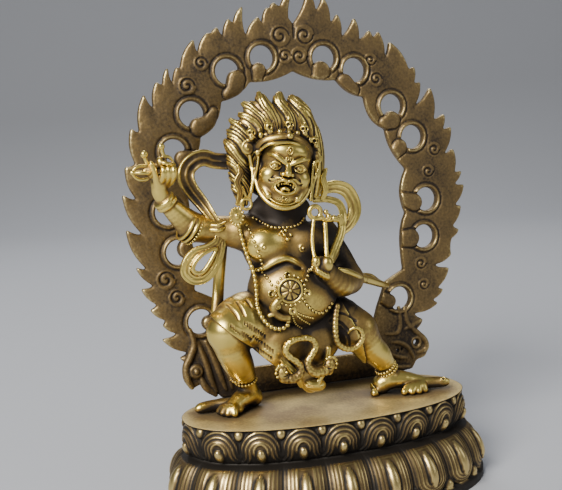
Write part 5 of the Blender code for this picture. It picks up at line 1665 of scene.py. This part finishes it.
def aged_brass(name, bright, middle, dark, limits, rough, grain, mottle):
    """Brass that is bright where it is worn and dark in its hollows and where shade is painted."""
    brass = bpy.data.materials.new(name)
    brass.use_nodes = True
    nodes, links = brass.node_tree.nodes, brass.node_tree.links
    shader = nodes["Principled BSDF"]
    place = nodes.new("ShaderNodeTexCoord")

    def kept(attribute):
        made = nodes.new("ShaderNodeAttribute")
        made.attribute_name = attribute
        return made.outputs["Fac"]

    def noise(scale, detail):
        made = nodes.new("ShaderNodeTexNoise")
        made.inputs["Scale"].default_value = scale
        made.inputs["Detail"].default_value = detail
        links.new(place.outputs["Object"], made.inputs["Vector"])
        return made.outputs["Fac"]

    def sum_of(a, b, factor):
        made = nodes.new("ShaderNodeMath")
        made.operation = "MULTIPLY_ADD"
        links.new(b, made.inputs[0])
        made.inputs[1].default_value = factor
        links.new(a, made.inputs[2])
        return made.outputs[0]

    def between(value, start, end, low, high):
        made = nodes.new("ShaderNodeMapRange")
        links.new(value, made.inputs["Value"])
        for socket, number in (("From Min", start), ("From Max", end), ("To Min", low), ("To Max", high)):
            made.inputs[socket].default_value = number
        return made.outputs[0]

    # Patina and painted shade at each point, plus painted shade from how enclosed it lies.
    value = sum_of(kept("patina_and_shade"), kept("shade"), SHADE_SHARE)
    value = sum_of(value, noise(*CLOUDS), mottle[0])
    value = sum_of(value, noise(*SPECKS), mottle[1])
    colours = nodes.new("ShaderNodeValToRGB")
    links.new(value, colours.inputs["Fac"])
    stops = colours.color_ramp.elements
    darker = [0.5 * (m + d) for m, d in zip(middle, dark)]
    stops[0].position, stops[0].color = limits[0], (*bright, 1.0)
    stops[1].position, stops[1].color = limits[3], (*dark, 1.0)
    for at, colour in ((limits[1], middle), (limits[2], darker)):
        stops.new(at).color = (*colour, 1.0)
    links.new(colours.outputs["Color"], shader.inputs["Base Color"])
    links.new(between(value, limits[0], limits[3], *rough), shader.inputs["Roughness"])
    metal = between(value, limits[1], limits[3], 1.0, HOLLOW_METAL)
    links.new(sum_of(metal, kept("satin"), SATIN_METAL), shader.inputs["Metallic"])
    bump = nodes.new("ShaderNodeBump")
    bump.inputs["Strength"].default_value = grain
    bump.inputs["Distance"].default_value = GRAIN_DEPTH
    links.new(noise(*GRAIN), bump.inputs["Height"])
    links.new(bump.outputs["Normal"], shader.inputs["Normal"])
    return brass


# Painted shade

# The grid that painted shade is measured on, how far off a point it is read, and the patina where no hand
# rubs, with painted shade, on faces that point down or away from the front
SHADE_CELL = 1.25
SHADE_LOW = np.array((-92, -50, -42))
SHADE_HIGH = np.array((92, 50, 184))
SHADE_BLUR = 3
SHADE_OFF = 3.0
UNRUBBED_PATINA_AND_SHADE = 0.16
UNPLACED = {aureole_lean: aureole_unlean, head_lean: head_unlean}


def within_oval(x, y, half_width, half_depth):
    return (abs(x) / half_width) ** OVAL_POWER + (abs(y) / half_depth) ** OVAL_POWER < 1.0


def filled_space():
    """How full each cell of the shade's grid is, with all pieces in place."""
    count = np.ceil((SHADE_HIGH - SHADE_LOW) / SHADE_CELL).astype(int)
    x, y, z = np.meshgrid(*[SHADE_LOW[k] + SHADE_CELL * np.arange(count[k]) for k in range(3)], indexing="ij")
    full = np.zeros(count, np.float32)
    full[(z < 0.0) & within_oval(x, y, RIM_HALF_WIDTH, RIM_HALF_DEPTH)] = 1.0
    low_tier = z < WAIST_HEIGHT - BASE_HEIGHT - 8.0
    full[low_tier & within_oval(x, y, FOOT_HALF_WIDTH - 3.0, FOOT_HALF_DEPTH - 3.0)] = 1.0
    for _, clay, place, _ in MADE:
        if clay is None:
            continue
        at = UNPLACED[place](x, y, z) if place else [x, y, z]
        index = [np.round((at[k] - clay.low[k]) / clay.step).astype(int) for k in range(3)]
        within = np.all([(index[k] >= 0) & (index[k] < clay.count[k]) for k in range(3)], axis=0)
        cells = tuple(i[within] for i in index)
        value = np.clip(0.5 - clay.field[cells] / SHADE_CELL, 0.0, 1.0)
        full[within] = np.maximum(full[within], value)
    return full


def shade_pieces():
    """Painted shade at each point of every piece: darker the more enclosed it lies among all the pieces, and
    darker on faces that point down or away from the front, as unrubbed patina and painted shade.
    """
    wide = blurred(filled_space(), SHADE_BLUR)
    for piece, _, _, _ in MADE:
        mesh = piece.data
        points = vectors(mesh.vertices, "co") / METRES_PER_MM - SEAT
        normals = vectors(mesh.vertex_normals, "vector")
        # Faces towards the front and up stay lighter, as wear and painted light; the rest take unrubbed
        # patina and painted shade.
        rubbed_and_lit = 0.8 * np.clip(-normals[:, 1], 0.0, 1.0) + 0.35 * np.clip(normals[:, 2], 0.0, 1.0)
        # Painted shade from how full the space a little off the surface is.
        shade = sampled(wide, SHADE_LOW, SHADE_CELL, points + SHADE_OFF * normals)
        keep_values(mesh, "shade", shade + UNRUBBED_PATINA_AND_SHADE * (0.55 - rubbed_and_lit))


# Scene

# Each lamp's place, size, watts and colour, and the point that they all face
LAMPS = {
    "key": ((-1.05, -0.85, 1.05), (0.8, 0.8), 48.0, (1, 0.98, 0.93)),
    "fill": ((1.1, -0.8, 0.7), (0.8, 0.8), 2.5, (0.92, 0.95, 1)),
    "rim": ((0.2, 0.9, 1), (0.8, 0.5), 7.0, (0.95, 0.97, 1)),
}
LAMP_TARGET = Vector((0, 0, 0.12))
FLOOR_COLOUR = (0.45, 0.46, 0.49, 1.0)
FLOOR_ROUGHNESS = 0.8
FLOOR_START = -4.0
FLOOR_BEND = (1.0, 1.2)
FLOOR_HALF_WIDTH = 6.0
WALL_TOP = 5.0
SKY_COLOUR = (0.40, 0.42, 0.46, 1.0)
SKY_STRENGTH = 0.42


def camera():
    """The camera at the photo's place, turned by pan, tilt and roll."""
    eye = bpy.data.cameras.new("camera")
    eye.lens = CAMERA_LENS
    eye.sensor_width = CAMERA_SENSOR
    eye.clip_start = CAMERA_CLIP
    holder = linked("camera", eye)
    tilt, roll = radians(CAMERA_TILT), radians(CAMERA_ROLL)
    ahead = Vector((0.0, cos(tilt), -sin(tilt)))
    up = Vector((0.0, sin(tilt), cos(tilt)))
    right = Vector((1, 0, 0))
    right, up = right * cos(roll) - up * sin(roll), right * sin(roll) + up * cos(roll)
    turned = Matrix((right, up, -ahead)).transposed()
    pan = Matrix.Rotation(-radians(CAMERA_PAN), 3, "Z")
    holder.matrix_world = Matrix.Translation(Vector(CAMERA_PLACE) * METRES_PER_MM) @ (pan @ turned).to_4x4()
    bpy.context.scene.camera = holder


def lamp(name, place, size, power, colour):
    light = bpy.data.lights.new(name, "AREA")
    light.shape = "RECTANGLE"
    light.size, light.size_y = size
    light.energy = power
    light.color = colour
    holder = linked(name, light)
    holder.location = place
    holder.rotation_euler = (LAMP_TARGET - Vector(place)).to_track_quat("-Z", "Y").to_euler()


def floor():
    """A pale floor that sweeps up into a wall far behind."""
    start, radius = FLOOR_BEND
    profile = [(FLOOR_START, 0.0), (start, 0.0)]
    profile += [(start + radius * sin(a), radius - radius * cos(a)) for a in np.linspace(0.05, pi / 2.0, 24)]
    profile.append((start + radius, WALL_TOP))
    points = [(x, y, z) for y, z in profile for x in (-FLOOR_HALF_WIDTH, FLOOR_HALF_WIDTH)]
    faces = [(2 * i, 2 * i + 1, 2 * i + 3, 2 * i + 2) for i in range(len(profile) - 1)]
    mesh = bpy.data.meshes.new("floor")
    mesh.from_pydata(points, [], faces)
    mesh.shade_smooth()
    ground = linked("floor", mesh)
    ground.rotation_euler = (0.0, 0.0, -radians(CAMERA_PAN))
    pale = bpy.data.materials.new("floor_pale")
    pale.use_nodes = True
    shader = pale.node_tree.nodes["Principled BSDF"]
    shader.inputs["Base Color"].default_value = FLOOR_COLOUR
    shader.inputs["Roughness"].default_value = FLOOR_ROUGHNESS
    ground.data.materials.append(pale)


def world():
    sky = bpy.data.worlds.new("studio")
    bpy.context.scene.world = sky
    sky.use_nodes = True
    back = sky.node_tree.nodes["Background"]
    back.inputs["Color"].default_value = SKY_COLOUR
    back.inputs["Strength"].default_value = SKY_STRENGTH


def main():
    flame_aureole()
    figure()
    lotus_base()
    shade_pieces()
    brass = {slot: aged_brass(slot, **look) for slot, look in LOOKS.items()}
    for piece, _, _, slot in MADE:
        piece.data.materials.append(brass[slot])
    camera()
    for name, row in LAMPS.items():
        lamp(name, *row)
    floor()
    world()


main()
